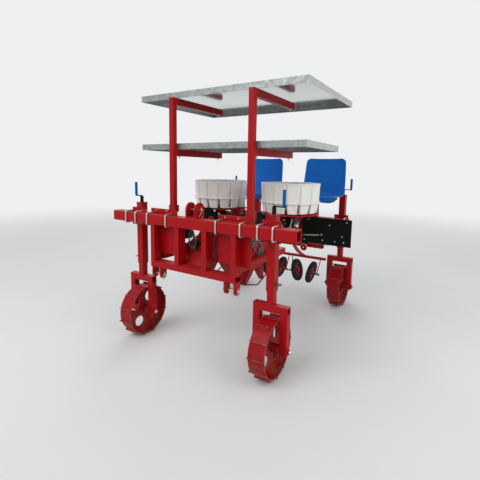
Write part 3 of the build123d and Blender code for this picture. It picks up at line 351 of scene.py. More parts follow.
# The grips stand in full light, so they are darker than the seats
GRIP_BLUE = blue_plastic("grip_blue", 0.62)

for entry in frame["record"]["subparts"]:
    node = nodes[entry["node"]]
    finish = MATERIALS[entry["material_slot"]]
    if entry["node"].startswith(("wheel_front", "wheel_rear", "planting_wheel")):
        finish = SOIL_RED
    if entry["node"] == "crank_grips":
        finish = GRIP_BLUE
    node.data.materials.clear()
    node.data.materials.append(finish)

# Small pieces, in millimetres: x to the right, back from the front face of the toolbar, z up
MM = 0.001
BAR_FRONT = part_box("toolbar")[0].y
X, Y, Z = Vector((1, 0, 0)), Vector((0, 1, 0)), Vector((0, 0, 1))
SIDES = (("left", -1), ("right", 1))
# Shares of a bolt's width over flats: radius of its washer, height of its head
WASHER_R, HEAD_HEIGHT = 0.62, 0.62
COIL_STEPS = 10
# The planting units, seats, panels and trays lie about this x, right of the machine's middle
UNIT_SHIFT = 95.0
UNIT_X = {"left": -250.0, "right": 440.0}
UNIT_PLATE_X, MAIN_BEAM_X, ROWS = 328.5, 200.0, (-81.0, 271.0)
LEG_X, FRONT_LEG, REAR_LEG = 610.0, 118.0, 1690.0
HITCH_X, HITCH_BACK, TOP_PIN_BACK = 341.5, 40.0, 61.0
CAROUSEL_BACK, UNIT_BEAM_BACK, REAR_BAR_MID, PANEL_FRONT = 745.0, 825.0, 1612.0, 1552.0
# name, top and depth of each tray
TRAYS = (("upper", 1974.0, 970.0), ("lower", 1596.0, 650.0))


def at(x, back, z):
    return Vector((x * MM, BAR_FRONT + back * MM, z * MM))


def frame_of(axis):
    """A direction of length 1 and two more square to it."""
    axis = axis.normalized()
    u = axis.orthogonal().normalized()
    return axis, u, axis.cross(u)


def around(count, start=0.0):
    """Angles of so many places round a circle."""
    return (start + 2 * math.pi * i / count for i in range(count))


def mirrored(x):
    """The same place on the other unit."""
    return 2 * UNIT_SHIFT - x


def as_it_is(x):
    return x


class Piece:
    """A mesh piece that rides on a body and takes its finish from a slot."""

    def __init__(self, name, finish, body="machine"):
        self.name, self.finish, self.body = name, finish, body
        self.bm = bmesh.new()

    def skin(self, rings, loop=False):
        """Faces between neighbouring rings, with caps on the ends unless it is a loop."""
        pairs = list(zip(rings, rings[1:]))
        if loop:
            pairs.append((rings[-1], rings[0]))
        for low, high in pairs:
            for i in range(len(low)):
                j = (i + 1) % len(low)
                self.bm.faces.new((low[i], low[j], high[j], high[i]))
        if not loop:
            self.bm.faces.new(rings[0][::-1])
            self.bm.faces.new(rings[-1])

    def lathe(self, centre, axis, profile, segments=20, loop=False, turn=0.0):
        """profile: distance along the axis and radius, in millimetres."""
        axis, u, v = frame_of(axis)
        rings = []
        for along, radius in profile:
            rings.append([])
            for a in around(segments, turn):
                place = centre + (axis * along + (u * math.cos(a) + v * math.sin(a)) * radius) * MM
                rings[-1].append(self.bm.verts.new(place))
        self.skin(rings, loop=loop)

    def sweep(self, points, radius, sides=8, loop=False, lumpy=0.0):
        """A rod along points in metres, radius in millimetres."""
        rings = []
        normal = None
        count = len(points)
        for i, place in enumerate(points):
            before = points[i - 1] if i or loop else place
            after = points[(i + 1) % count] if i < count - 1 or loop else place
            ahead = (after - before).normalized()
            normal = ahead.orthogonal() if normal is None else normal - ahead * normal.dot(ahead)
            normal.normalize()
            other = ahead.cross(normal)
            size = radius * MM * (1 + lumpy * (random.random() - 0.5))
            rings.append([
                self.bm.verts.new(place + (normal * math.cos(a) + other * math.sin(a)) * size)
                for a in around(sides)
            ])
        self.skin(rings, loop=loop)

    def prism(self, outline, direction):
        """outline: places in metres, moved along direction, in metres."""
        low = [self.bm.verts.new(p) for p in outline]
        high = [self.bm.verts.new(p + direction) for p in outline]
        self.skin([low, high])

    def block(self, low, high, bevel=1.5):
        """A box with rounded edges between two corners in metres."""
        box = bmesh.ops.create_cube(self.bm, size=1.0)
        size = high - low
        for v in box["verts"]:
            v.co = low + Vector((share + 0.5) * length for share, length in zip(v.co, size))
        edges = list({e for v in box["verts"] for e in v.link_edges})
        bmesh.ops.bevel(
            self.bm, geom=edges, offset=bevel * MM, segments=2, profile=0.6, affect="EDGES"
        )

    def bolt(self, place, axis, across=17.0, washer=True):
        """A hexagon head, on a washer unless that is left out, standing on the place."""
        base = 0.0
        if washer:
            r = across * WASHER_R
            self.lathe(place, axis, ((-0.5, r - 0.6), (1.6, r), (2.0, r - 0.5)), 20)
            base = 1.5
        r = across / math.cos(math.pi / 6) / 2
        top = base + across * HEAD_HEIGHT
        head = ((base, r), (top - 1.6, r), (top, r * 0.84))
        self.lathe(place, axis, head, 6, turn=random.random())

    def coil(self, start, end, radius, wire, turns):
        """A coil spring between two places, with straight hooked ends."""
        axis, u, v = frame_of(end - start)
        length = (end - start).length
        points = [start]
        for i in range(turns * COIL_STEPS + 1):
            share = 0.1 + 0.8 * i / (turns * COIL_STEPS)
            a = 2 * math.pi * i / COIL_STEPS
            off = (u * math.cos(a) + v * math.sin(a)) * radius * MM
            points.append(start + axis * length * share + off)
        points.append(end)
        self.sweep(points, wire, 6)

    def done(self, sharp=35.0):
        bmesh.ops.recalc_face_normals(self.bm, faces=self.bm.faces)
        mesh = bpy.data.meshes.new(self.name)
        self.bm.to_mesh(mesh)
        self.bm.free()
        mesh.polygons.foreach_set("use_smooth", [True] * len(mesh.polygons))
        mesh.set_sharp_from_angle(angle=math.radians(sharp))
        mesh.materials.append(MATERIALS[self.finish])
        obj = bpy.data.objects.new(self.name, mesh)
        scene.collection.objects.link(obj)
        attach(obj, self.body)
        return obj


# Seat shells: a sheet bent along the profile, its sides turned up, with round corners and a slot.
# Their middles are a little off the middles of the units, as in the photograph.
SHELL_X = {"left": -238.0, "right": 443.0}
SEAT_MID, SEAT_PAN = 1416.0, 1150.0
SEAT_HALF, PAN_WIDER, SEAT_CORNER, SEAT_SHEET = 204.0, 14.0, 46.0, 6.5
# height of the turned-up sides and the run over which they grow from the front edge
SIDE_RISE, SIDE_RUN = 20.0, 160.0
# shares of half the width out to which the slot and the crease reach
SLOT_SHARE, CREASE_SHARE = 0.17, 0.8
# back from the middle of the seat, height over the pan
SEAT_LINE = (
    (-192, -37), (-199, -14), (-190, 12), (-165, 17), (-128, 9), (-70, -1), (0, -5), (70, -1),
    (112, 14), (139, 48), (157, 96), (172, 153), (184, 222), (194, 300), (201, 376),
)
SLOT_DEPTH, SLOT_RISE, CREASE_DEPTH, CREASE_RISE = 5.0, 342.0, 2.5, 190.0
# distances from an end and from the slot and the crease at which the sheet is divided
END_ROWS = (0.0, 3.0, 9.0, 18.0, 30.0, 46.0)
SLOT_ROWS, CREASE_ROWS = (-6.5, -5, -3.5, 3.5, 5, 6.5), (-7, -2, 2, 7)
ROW_STEP, SEAT_SAMPLES = 15.0, 600
# shares of half the width at which it is divided
HALF_ACROSS = (0.16, 0.18, 0.2, 0.34, 0.48, 0.62, 0.76, 0.88, 0.95, 0.985, 1)
ACROSS = (*(-u for u in reversed(HALF_ACROSS)), 0, *HALF_ACROSS)


def smooth_line(points, share):
    """Catmull-Rom curve through points, share from 0 to 1."""
    spans = len(points) - 1
    k = min(int(share * spans), spans - 1)
    t = share * spans - k
    p = [Vector(points[min(max(k + d, 0), spans)]) for d in (-1, 0, 1, 2)]
    return 0.5 * (
        2 * p[1] + (p[2] - p[0]) * t + (2 * p[0] - 5 * p[1] + 4 * p[2] - p[3]) * t * t
        + (3 * p[1] - p[0] - 3 * p[2] + p[3]) * t ** 3
    )


fine = [smooth_line(SEAT_LINE, i / SEAT_SAMPLES) for i in range(SEAT_SAMPLES + 1)]
run = [0.0]
for first, second in zip(fine, fine[1:]):
    run.append(run[-1] + (second - first).length)
rows = list(END_ROWS)
while rows[-1] < run[-1] - 64:
    rows.append(rows[-1] + ROW_STEP)
rows += [run[-1] - d for d in reversed(END_ROWS)]


def run_at(rise):
    """Distance along the profile at which the back reaches a height."""
    return next(s for s, p in zip(run, fine) if s > 300 and p.y >= rise)


slot_run, crease_run = run_at(SLOT_RISE), run_at(CREASE_RISE)
rows = [r for r in rows if abs(r - slot_run) > 9 and abs(r - crease_run) > 9]
rows += [slot_run + d for d in SLOT_ROWS]
rows += [crease_run + d for d in CREASE_ROWS]
rows.sort()
seat = Piece("seat_shells", "blue_plastic")
for middle in SHELL_X.values():
    grid = []
    for r in rows:
        k = min(range(len(run)), key=lambda n: abs(run[n] - r))
        place = fine[k]
        ahead = (fine[min(k + 1, SEAT_SAMPLES)] - fine[max(k - 1, 0)]).normalized()
        inward = Vector((-ahead.y, ahead.x))
        end = min(r, run[-1] - r)
        half = SEAT_HALF + PAN_WIDER * min(1.0, max(0.0, (run[-1] - r) / 260.0 - 0.15))
        if end < SEAT_CORNER:
            half -= SEAT_CORNER - math.sqrt(SEAT_CORNER ** 2 - (SEAT_CORNER - end) ** 2)
        line = []
        for u in ACROSS:
            lift = SIDE_RISE * abs(u) ** 3 * min(1.0, r / SIDE_RUN)
            if abs(u) < CREASE_SHARE and abs(r - crease_run) < 3:
                lift -= CREASE_DEPTH
            if abs(u) < SLOT_SHARE and abs(r - slot_run) < 4:
                lift -= SLOT_DEPTH
            spot = place + inward * lift
            line.append(seat.bm.verts.new(
                at(middle + u * half, SEAT_MID + spot.x, SEAT_PAN + spot.y)
            ))
        grid.append(line)
    for low, high in zip(grid, grid[1:]):
        for i in range(len(ACROSS) - 1):
            seat.bm.faces.new((low[i], low[i + 1], high[i + 1], high[i]))
seat_shells = seat.done(60)
solid = seat_shells.modifiers.new("thick", "SOLIDIFY")
solid.thickness = SEAT_SHEET * MM
solid.offset = 0.0
soft = seat_shells.modifiers.new("smooth", "SUBSURF")
soft.levels = soft.render_levels = 2
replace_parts(seat_shells, "seats")

# Tyres of the press wheels: rounded shoulders and ribs between shallow grooves.
# One half of the section: distance from the middle, radius.
TYRE_HALF = (
    (20, 66.4), (21.5, 76), (22, 90), (21.6, 101), (19.5, 109), (15.5, 114.5), (10.5, 117.2),
    (9.8, 115.2), (7.4, 115.2), (6.8, 117.8), (1.4, 118.0), (1.0, 116.0),
)
TYRE = (*((-along, radius) for along, radius in TYRE_HALF), *reversed(TYRE_HALF))
PRESS_HALF, PRESS_BACK, PRESS_Z, PRESS_TILT = 80.0, 1560.0, 338.0, math.radians(12.0)
PRESS_BAR_TOP = 511
HUB_BOLTS, HUB_BOLTS_R = 4, 40
# number, x of the row, side of the row
PRESS = (("1", ROWS[0], -1), ("2", ROWS[0], 1), ("3", ROWS[1], -1), ("4", ROWS[1], 1))
for number, row, side in PRESS:
    centre = at(row + side * PRESS_HALF, PRESS_BACK, PRESS_Z)
    axle = Vector((side * math.cos(PRESS_TILT), 0, -math.sin(PRESS_TILT)))
    tyre = Piece("tyre_" + number, "black_tyre", "press_wheel_" + number)
    tyre.lathe(centre, axle, TYRE, 64, loop=True)
    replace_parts(tyre.done(), "press_tyre_" + number)
    hub = Piece("hub_bolts_" + number, "zinc_steel", "press_wheel_" + number)
    axle, u, v = frame_of(axle)
    for a in around(HUB_BOLTS, math.pi / HUB_BOLTS):
        off = axle * 4 + (u * math.cos(a) + v * math.sin(a)) * HUB_BOLTS_R
        hub.bolt(centre + off * MM, axle, 12)
    hub.done()

# Webs that close the gaps between the cups above the band
CUP_COUNT, WEB_THICK = 14, 3
# degrees by which each carousel is turned
CAROUSEL_TURN = {"left": 4.3, "right": 16.0}
# height, radius, half the width
WEB_ENDS = ((1158.0, 219.0, 8.6), (1296.0, 226.5, 5.2))
for name, turn in CAROUSEL_TURN.items():
    webs = Piece("cup_webs_" + name, "ivory_plastic", "carousel_" + name)
    for a in around(CUP_COUNT, math.radians(turn) + math.pi / CUP_COUNT):
        out, along = Vector((math.cos(a), math.sin(a), 0)), Vector((-math.sin(a), math.cos(a), 0))
        rings = []
        for z, r, half in WEB_ENDS:
            middle = at(UNIT_X[name], CAROUSEL_BACK, z)
            rings.append([
                webs.bm.verts.new(middle + (out * (r + thick) + along * half * side) * MM)
                for thick, side in ((0, -1), (WEB_THICK, -1), (WEB_THICK, 1), (0, 1))
            ])
        webs.skin(rings)
    webs.done()

# Drive of each carousel: bearings and sprockets on the row's side plate, two chains and a gear
# case on the column. LINK is the pitch of the chains.
LINK = 12.7
# share of the pitch, height over the pitch circle
TOOTH = ((0.0, -4), (0.3, -3.2), (0.42, 2.6), (0.58, 2.6), (0.7, -3.2))
PIN_LONG, PIN_R, PLATE_R, ARC_STEPS = 7.2, 3.2, 4.6, 32


def gear(piece, centre, radius, width):
    """A sprocket with its hub, its axle along x; radius of the pitch circle."""
    teeth = round(2 * math.pi * radius / LINK)
    outline = []
    for i in range(teeth):
        for share, over in TOOTH:
            a, r = 2 * math.pi * (i + share) / teeth, radius + over
            outline.append(centre + Vector((-width / 2, r * math.cos(a), r * math.sin(a))) * MM)
    piece.prism(outline, X * width * MM)
    piece.lathe(centre, X, ((-width / 2 - 3, 15), (width / 2 + 3, 15)), 20)


def chain(piece, x, first, second):
    """A roller chain round two sprockets: each back, z, radius."""
    (b1, z1, r1), (b2, z2, r2) = first, second
    heading = math.atan2(z2 - z1, b2 - b1)
    spread = math.acos((r1 - r2) / math.hypot(b2 - b1, z2 - z1))
    path = []
    for b, z, r, start, stop in (
        (b1, z1, r1, spread, 2 * math.pi - spread), (b2, z2, r2, -spread, spread),
    ):
        for i in range(ARC_STEPS + 1):
            a = heading + start + (stop - start) * i / ARC_STEPS
            path.append(Vector((b + r * math.cos(a), z + r * math.sin(a))))
    path.append(path[0])
    runs = [0.0]
    for p, q in zip(path, path[1:]):
        runs.append(runs[-1] + (q - p).length)
    count = round(runs[-1] / LINK / 2) * 2
    spots = []
    k = 0
    for i in range(count):
        s = runs[-1] * i / count
        while runs[k + 1] < s:
            k += 1
        spots.append(path[k].lerp(path[k + 1], (s - runs[k]) / (runs[k + 1] - runs[k])))
    for i, p in enumerate(spots):
        q = spots[(i + 1) % count]
        piece.lathe(at(x - PIN_LONG / 2, p.x, p.y), X, ((0, PIN_R), (PIN_LONG, PIN_R)), 8)
        turn = math.atan2(q.y - p.y, q.x - p.x)
        for out in (-1, 1):
            off = out * (2.6 + i % 2)
            outline = []
            for end, start in ((q, -math.pi / 2), (p, math.pi / 2)):
                for n in range(4):
                    a = turn + start + math.pi * n / 3
                    back, z = end.x + PLATE_R * math.cos(a), end.y + PLATE_R * math.sin(a)
                    outline.append(at(x + off - 0.5, back, z))
            piece.prism(outline, X * MM)


# Distance and radius of the middle bearings: flat, because the planting wheels pass close by
FLAT_BEARING = ((0, 34), (4, 34), (5, 31))
# back, height and radius of the sprockets that are the same on both sides
LOWER_GEAR, UPPER_GEAR, MIDDLE_GEAR_R = (475, 765, 46), (CAROUSEL_BACK, 988, 28), 32
CASE_LOW, CASE_HIGH, CASE_HALF, CASE_OFF = (712, 954), (780, 1024), 26, 52
# distances of the two chains from the side plate
INNER_CHAIN, OUTER_CHAIN, GEAR_WIDTH = 6, 28, 4
# side, outer face of the row's side plate, back and height of the middle bearing
DRIVES = (("left", -1, -128.0, 225, 815), ("right", 1, 318.0, 335, 880))
for name, side, face, mid_back, mid_z in DRIVES:
    inner, outer = face + side * INNER_CHAIN, face + side * OUTER_CHAIN
    lower, middle, upper = LOWER_GEAR, (mid_back, mid_z, MIDDLE_GEAR_R), UPPER_GEAR
    drive = Piece("sprockets_" + name, "dark_steel")
    links = Piece("chains_" + name, "dark_steel")
    bearings = Piece("bearings_" + name, "black_steel")
    bolts = Piece("drive_bolts_" + name, "zinc_steel")
    gear(drive, at(inner, *lower[:2]), lower[2], GEAR_WIDTH)
    for x, (back, z, r) in ((inner, middle), (outer, middle), (outer, upper)):
        gear(drive, at(x, back, z), r, GEAR_WIDTH)
    chain(links, inner, lower, middle)
    chain(links, outer, middle, upper)
    drive.lathe(at(face, *middle[:2]), X * side, ((-9, 10), (38, 10), (39, 9)), 16)
    bearings.lathe(at(face - side * 8, *middle[:2]), -X * side, FLAT_BEARING, 28)
    case_x = UNIT_X[name] - side * CASE_OFF
    drive.lathe(at(case_x, *upper[:2]), -X * side, ((0, 11), (abs(case_x - outer) + 8, 11)), 16)
    bearings.block(at(case_x - CASE_HALF, *CASE_LOW), at(case_x + CASE_HALF, *CASE_HIGH), 6)
    case_face = case_x - side * CASE_HALF
    bearings.lathe(at(case_face, *upper[:2]), -X * side, ((0, 24), (10, 22)), 24)
    for back in (722, 770):
        for z in (964, 1013):
            bolts.bolt(at(case_face, back, z), -X * side, 10)
            bolts.bolt(at(case_x, CASE_LOW[0], z), -Y, 10)
    for back in (780, 700):
        bolts.bolt(at(face, back, 905), X * side, 14)
    for piece in (drive, links, bearings, bolts):
        piece.done()

# Hitch pins with their lynch pins
LOWER_PIN_Z, TOP_PIN_Z, RING_STEPS = 585.0, 1113.0, 24
pins = Piece("hitch_pins", "zinc_steel")
for centre in (-HITCH_X, HITCH_X):
    head = at(centre - 62, HITCH_BACK, LOWER_PIN_Z)
    pins.lathe(head, X, ((0, 10.6), (1, 11.0), (122, 11.0), (124, 9)), 24)
    pins.lathe(head, -X, ((-1, 15), (5, 15), (7, 12)), 24)
    ring = [
        at(centre + 55, HITCH_BACK + 19 * math.cos(a), LOWER_PIN_Z - 19 + 19 * math.sin(a))
        for a in around(RING_STEPS)
    ]
    pins.sweep(ring, 1.8, 6, loop=True)
    lynch = at(centre + 55, HITCH_BACK, LOWER_PIN_Z - 17)
    pins.lathe(lynch, Z, ((0, 2.6), (34, 2.6), (37, 1.6)), 10)
pins.lathe(at(-62, TOP_PIN_BACK, TOP_PIN_Z), X, ((0, 9.2), (1, 9.5), (128, 9.5), (130, 8)), 24)
pins.lathe(at(-61, TOP_PIN_BACK, TOP_PIN_Z), -X, ((0, 14), (5, 14), (7, 11)), 24)
pins.lathe(at(58, TOP_PIN_BACK, TOP_PIN_Z - 19), Z, ((0, 2.6), (36, 2.6), (39, 1.6)), 10)
ring = [
    at(58 + 7 * math.sin(a), TOP_PIN_BACK + 21 * math.cos(a), TOP_PIN_Z - 43 + 22 * math.sin(a))
    for a in around(RING_STEPS)
]
pins.sweep(ring, 2.0, 6, loop=True)
pins.done()

# Bolts on the frame
frame_bolts = Piece("frame_bolts", "zinc_steel")
for side in (-1, 1):
    for off in (-74, 34):
        frame_bolts.bolt(at(side * UNIT_PLATE_X + off, 80, 1078), -Y, 9)
    for off in (-112, 112):
        for z in (770, 800):
            frame_bolts.bolt(at(side * UNIT_PLATE_X + off, 88, z), Y, 14)
# x and z of the bolts of the right guard panel
PANEL_BOLTS = (
    (525, 856), (657, 752), (459, 698), (588, 697), (676, 695), (300, 900), (700, 900),
)
for x, z in PANEL_BOLTS:
    frame_bolts.bolt(at(x, PANEL_FRONT, z), -Y, 12)
    frame_bolts.bolt(at(mirrored(x), PANEL_FRONT, z), -Y, 12)
for seat_x in UNIT_X.values():
    for off in (-100, 100):
        for back in (SEAT_MID - 60, SEAT_MID + 60):
            frame_bolts.bolt(at(seat_x + off, back, 1138), -Z, 13)
for row in ROWS:
    frame_bolts.bolt(at(row, PRESS_BACK, PRESS_BAR_TOP), Z, 14)
frame_bolts.done()

# Lock screw of each leg, on a boss low on the outer face of its sleeve
SLEEVE_HALF, LOCK_Z = 30, 662
locks = Piece("leg_locks", "dark_steel")
for side in (-1, 1):
    for back in (FRONT_LEG, REAR_LEG):
        face = at(side * (LEG_X + SLEEVE_HALF), back, LOCK_Z)
        locks.lathe(face, X * side, ((-1, 13), (12, 13), (13, 12)), 6)
        locks.lathe(face, X * side, ((12, 7), (34, 7), (35, 6)), 16)
        end = face + (X * side * 29 - Y * 26) * MM
        locks.lathe(end, Y, ((0, 3.2), (1, 4), (51, 4), (52, 3.2)), 12)
locks.done()

# Springs in front of the guard panels, each between two hooks
SPRING_BACK = 1530
springs = Piece("springs", "zinc_steel")
for place_x in (mirrored, as_it_is):
    a, b = at(place_x(262), SPRING_BACK, 733), at(place_x(440), SPRING_BACK, 752)
    springs.coil(a, b, 8.5, 1.7, 20)
    springs.sweep([
        at(place_x(226), SPRING_BACK, 728), at(place_x(252), SPRING_BACK, 730), a,
    ], 3.0, 8)
    springs.sweep([b, at(place_x(447), 1532, 754), at(place_x(452), 1553, 756)], 3.0, 8)
    springs.bolt(at(place_x(452), 1545, 756), -Y, 13)
springs.done()

# Guide roller under the inner end of each panel, on a strap, with a flap beside the panel
ROLLER_X, STRAP_HALF, STRAP_FRONT = 267, 13, 1546
ROLLER = ((0, 27), (1, 33), (4, 34), (16, 34), (18, 33), (19, 27))
ROLLER_RING = ((2, 34), (2, 37), (4, 38.5), (15, 38.5), (17, 37), (17, 34))
# x and z of the corners of the right flap
FLAP = ((226, 812), (236, 640), (300, 640), (300, 652), (246, 812))
rollers = Piece("guide_rollers", "red_paint")
roller_pins = Piece("guide_roller_pins", "zinc_steel")
flaps = Piece("panel_flaps", "black_steel")
for place_x in (as_it_is, mirrored):
    strap_x = place_x(ROLLER_X)
    centre = at(strap_x, 1522, 603)
    rollers.lathe(centre, Y, ROLLER, 40)
    roller_pins.lathe(centre, Y, ROLLER_RING, 40, loop=True)
    roller_pins.lathe(centre, Y, ((-3, 9), (31, 9)), 16)
    roller_pins.bolt(centre - Y * 2 * MM, -Y, 15)
    low = at(strap_x - STRAP_HALF, STRAP_FRONT, 590)
    flaps.block(low, at(strap_x + STRAP_HALF, PANEL_FRONT, 704), 1.5)
    roller_pins.bolt(at(strap_x, STRAP_FRONT, 686), -Y, 12)
    flaps.prism([at(place_x(x), PANEL_FRONT + 0.5, z) for x, z in FLAP], Y * 5 * MM)
    for x in (494, 520):
        roller_pins.bolt(at(place_x(x), 1555, 652), -Z, 13)
rollers.done()
roller_pins.done()
flaps.done()

# Black runners and lever under each seat
RUNNER_OFF, RUNNER_HALF = 148, 11
# from the middle of the seat: x, back; height
SEAT_LEVER = ((158, 40, 1128), (176, -20, 1126), (182, -96, 1122), (182, -150, 1128))
runners = Piece("seat_runners", "black_steel")
for seat_x in UNIT_X.values():
    for x in (seat_x - RUNNER_OFF, seat_x + RUNNER_OFF):
        low = at(x - RUNNER_HALF, SEAT_MID - 104, 1124)
        runners.block(low, at(x + RUNNER_HALF, SEAT_MID + 118, 1142), 2.5)
    for back in (SEAT_MID - 70, SEAT_MID + 70):
        runners.block(at(seat_x - 150, back - 15, 1132), at(seat_x + 150, back + 15, 1138), 1.2)
    lever = [at(seat_x + x, SEAT_MID + back, z) for x, back, z in SEAT_LEVER]
    runners.sweep(lever, 5, 10)
    runners.sweep(lever[2:], 9, 12)
runners.done()

# Tray edges: rolled hem round the lips
TRAY_HALF, TRAY_FRONT, TRAY_LIP = 710, 140, 45
HEM_INSET, HEM_R = 3, 2.8
for name, top, depth in TRAYS:
    hems = Piece("tray_hems_" + name, "galvanised")
    left, right = UNIT_SHIFT - TRAY_HALF + HEM_INSET, UNIT_SHIFT + TRAY_HALF - HEM_INSET
    front, back = TRAY_FRONT + HEM_INSET, TRAY_FRONT + depth - HEM_INSET
    z = top - TRAY_LIP + HEM_INSET
    corners = [at(left, front, z), at(right, front, z), at(right, back, z), at(left, back, z)]
    for start, end in zip(corners, corners[1:] + corners[:1]):
        hems.sweep([start, end], HEM_R, 10)
    hems.done()

# Screws through the arms of the trays
arm_screws = Piece("tray_screws", "zinc_steel")
# from a tray's top down to the underside of its arms
ARM_BOTTOM = 95
for _, top, _ in TRAYS:
    for x in UNIT_X.values():
        for back in (176, 690):
            place = at(x, back, top - ARM_BOTTOM)
            arm_screws.bolt(place, -Z, 12)
            arm_screws.lathe(place, -Z, ((0, 3.2), (17, 3.2), (18, 2.4)), 10)
arm_screws.done()

# Lock nuts on the heads of the ground wheels' axles
# from the middle of a wheel to the outer face of an axle's head
AXLE_HEAD = 142
# side, back, height; the front left axle is lower
AXLES = ((-1, FRONT_LEG, 209.6), (1, FRONT_LEG, 217), (-1, REAR_LEG, 217), (1, REAR_LEG, 217))
axle_nuts = Piece("axle_nuts", "zinc_steel")
for side, back, z in AXLES:
    for end in (-1, 1):
        place = at(side * LEG_X + end * AXLE_HEAD, back, z)
        axle_nuts.lathe(place, X * end, ((-0.5, 14), (2, 14), (2.5, 13)), 28)
        axle_nuts.lathe(place, X * end, ((2, 11), (9, 11), (10.5, 9)), 6)
axle_nuts.done()

# Black cover round each column with a lever in front, and a clutch on its outer side: stacked
# discs, a hub nut, a bent arm and its spring
COLUMN_COVER = ((932, 42.1), (932, 46), (1034, 46), (1034, 42.1))
CLUTCH_DISCS = ((6, 26), (10, 26), (11, 24), (11, 16), (20, 16), (20, 22), (26, 22), (27, 20))
CLUTCH_BOLTS, CLUTCH_BOLTS_R = 4, 21
# outwards from the column, height
LEVER = ((51, 1018), (40, 978), (31, 946))
LEVER_BACK = 688
# from the clutch: outwards, back, up
CLUTCH_ARM = ((24, 0, 26), (26, 10, 46), (40, 46, 52), (48, 92, 46))
CLUTCH_HOOK = (46, 84, 46)
for name, side in SIDES:
    column = UNIT_X[name]
    cover = Piece("column_cover_" + name, "black_steel")
    cover.lathe(at(column, CAROUSEL_BACK, 0), Z, COLUMN_COVER, 40, loop=True)
    cover.block(at(column - 30, 690, 936), at(column + 34, 706, 1030), 5)
    cover.done()
    lever = Piece("lever_" + name, "zinc_steel")
    lever.sweep([at(column + side * out, LEVER_BACK, z) for out, z in LEVER], 4.5, 10)
    lever.lathe(at(column + side * 31, 704, 948), -Y, ((0, 8), (20, 8), (21, 7)), 16)
    clip_x = column - side * 22
    lever.block(at(clip_x - 11, 682, 992), at(clip_x + 11, 691, 1012), 2)
    lever.bolt(at(column - side * 12, 690, 974), -Y, 12)
    lever.done()
    clutch = Piece("clutch_" + name, "dark_steel")
    base = at(column + side * 40, CAROUSEL_BACK, 986)
    clutch.lathe(base, X * side, CLUTCH_DISCS, 32)
    clutch.lathe(base, X * side, ((26, 13), (36, 13), (37, 11)), 6)
    *arm, hook = (
        base + Vector((side * out, back, up)) * MM for out, back, up in (*CLUTCH_ARM, CLUTCH_HOOK)
    )
    clutch.sweep(arm, 4, 10)
    clutch.coil(hook, at(column + side * 24, 822, 934), 7.5, 1.5, 12)
    clutch.lathe(at(column + side * 24, 822, 930), Z, ((0, 7), (8, 7), (9, 5)), 6)
    for a in around(CLUTCH_BOLTS, math.pi / CLUTCH_BOLTS):
        off = X * side * 10 + (Y * math.cos(a) + Z * math.sin(a)) * CLUTCH_BOLTS_R
        clutch.bolt(base + off * MM, X * side, 7, washer=False)
    clutch.done()

# Feed drive of the left unit: a hanger behind the toolbar, two sprockets, a chain and the spring
# of its tensioner
FEED_X = -92
# back and height of the two sprockets, and their radii
FEED_TOP, FEED_LOW, FEED_TOP_R, FEED_LOW_R = (128, 912), (140, 806), 30, 24
feed = Piece("feed_hanger", "black_steel")
feed.block(at(-118, 81, 880), at(-112, 150, 1046), 1.5)
feed.block(at(-118, 80, 984), at(-74, 87, 1046), 1.5)
feed.lathe(at(-112, *FEED_TOP), X, ((-1, 22), (9, 20), (10, 17)), 24)
feed.lathe(at(-120, *FEED_LOW), X, ((0, 25), (10, 23), (11, 18)), 24)
feed.done()
wheels = Piece("feed_sprockets", "dark_steel")
gear(wheels, at(FEED_X, *FEED_TOP), FEED_TOP_R, GEAR_WIDTH)
gear(wheels, at(FEED_X, *FEED_LOW), FEED_LOW_R, GEAR_WIDTH)
wheels.lathe(at(-116, *FEED_TOP), X, ((0, 9), (44, 9), (45, 8)), 16)
wheels.lathe(at(-120, *FEED_LOW), X, ((0, 9), (46, 9), (47, 8)), 16)
wheels.done()
feed_chain = Piece("feed_chain", "dark_steel")
chain(feed_chain, FEED_X, (*FEED_LOW, FEED_LOW_R), (*FEED_TOP, FEED_TOP_R))
spring_top, spring_low = at(-84, 168, 898), at(-84, 172, 816)
feed_chain.coil(spring_top, spring_low, 7, 1.5, 11)
feed_chain.sweep([spring_top, at(-86, 150, 912), at(FEED_X, 132, 914)], 3.2, 8)
feed_chain.sweep([spring_low, at(-86, 160, 806), at(FEED_X, 142, 804)], 3.2, 8)
for x in (-100, -84):
    feed_chain.bolt(at(x, 87, 1030), Y, 11)
feed_chain.bolt(at(-72, *FEED_TOP), X, 13)
feed_chain.bolt(at(-74, *FEED_LOW), X, 13)
feed_chain.done()

# Sloping shield behind the rail and the two middle posts, in front of the left planting wheel
SHIELD_LEFT, SHIELD_WIDTH = -168, 275
# back and z of its section
SHIELD = ((80, 686), (85, 686), (164, 779), (159, 780))
shield = Piece("front_shield", "red_paint")
shield.prism([at(SHIELD_LEFT, back, z) for back, z in SHIELD], X * SHIELD_WIDTH * MM)
for x in (-96, 96):
    shield.block(at(x - 3, 79, 684), at(x + 3, 118, 716), 1)
shield.done()

# Weld beads where tubes meet
WELD_R, WELD_STEP = 2.6, 6
welds = Piece("welds", "red_paint")


def bead_round(x, back, z, half_x, half_back):
    """A lumpy weld round a rectangle, one run along each side."""
    corners = [
        at(x + sx * half_x, back + sy * half_back, z)
        for sx, sy in ((-1, -1), (1, -1), (1, 1), (-1, 1))
    ]
    for p, q in zip(corners, corners[1:] + corners[:1]):
        count = max(2, int((q - p).length / (WELD_STEP * MM)))
        welds.sweep([p.lerp(q, i / count) for i in range(count + 1)], WELD_R, 6, lumpy=0.5)


# From the middle of a unit to its seat's post, and from the middle of a fork to its sides
SEAT_POST_OFF, FORK_HALF = 94, 103
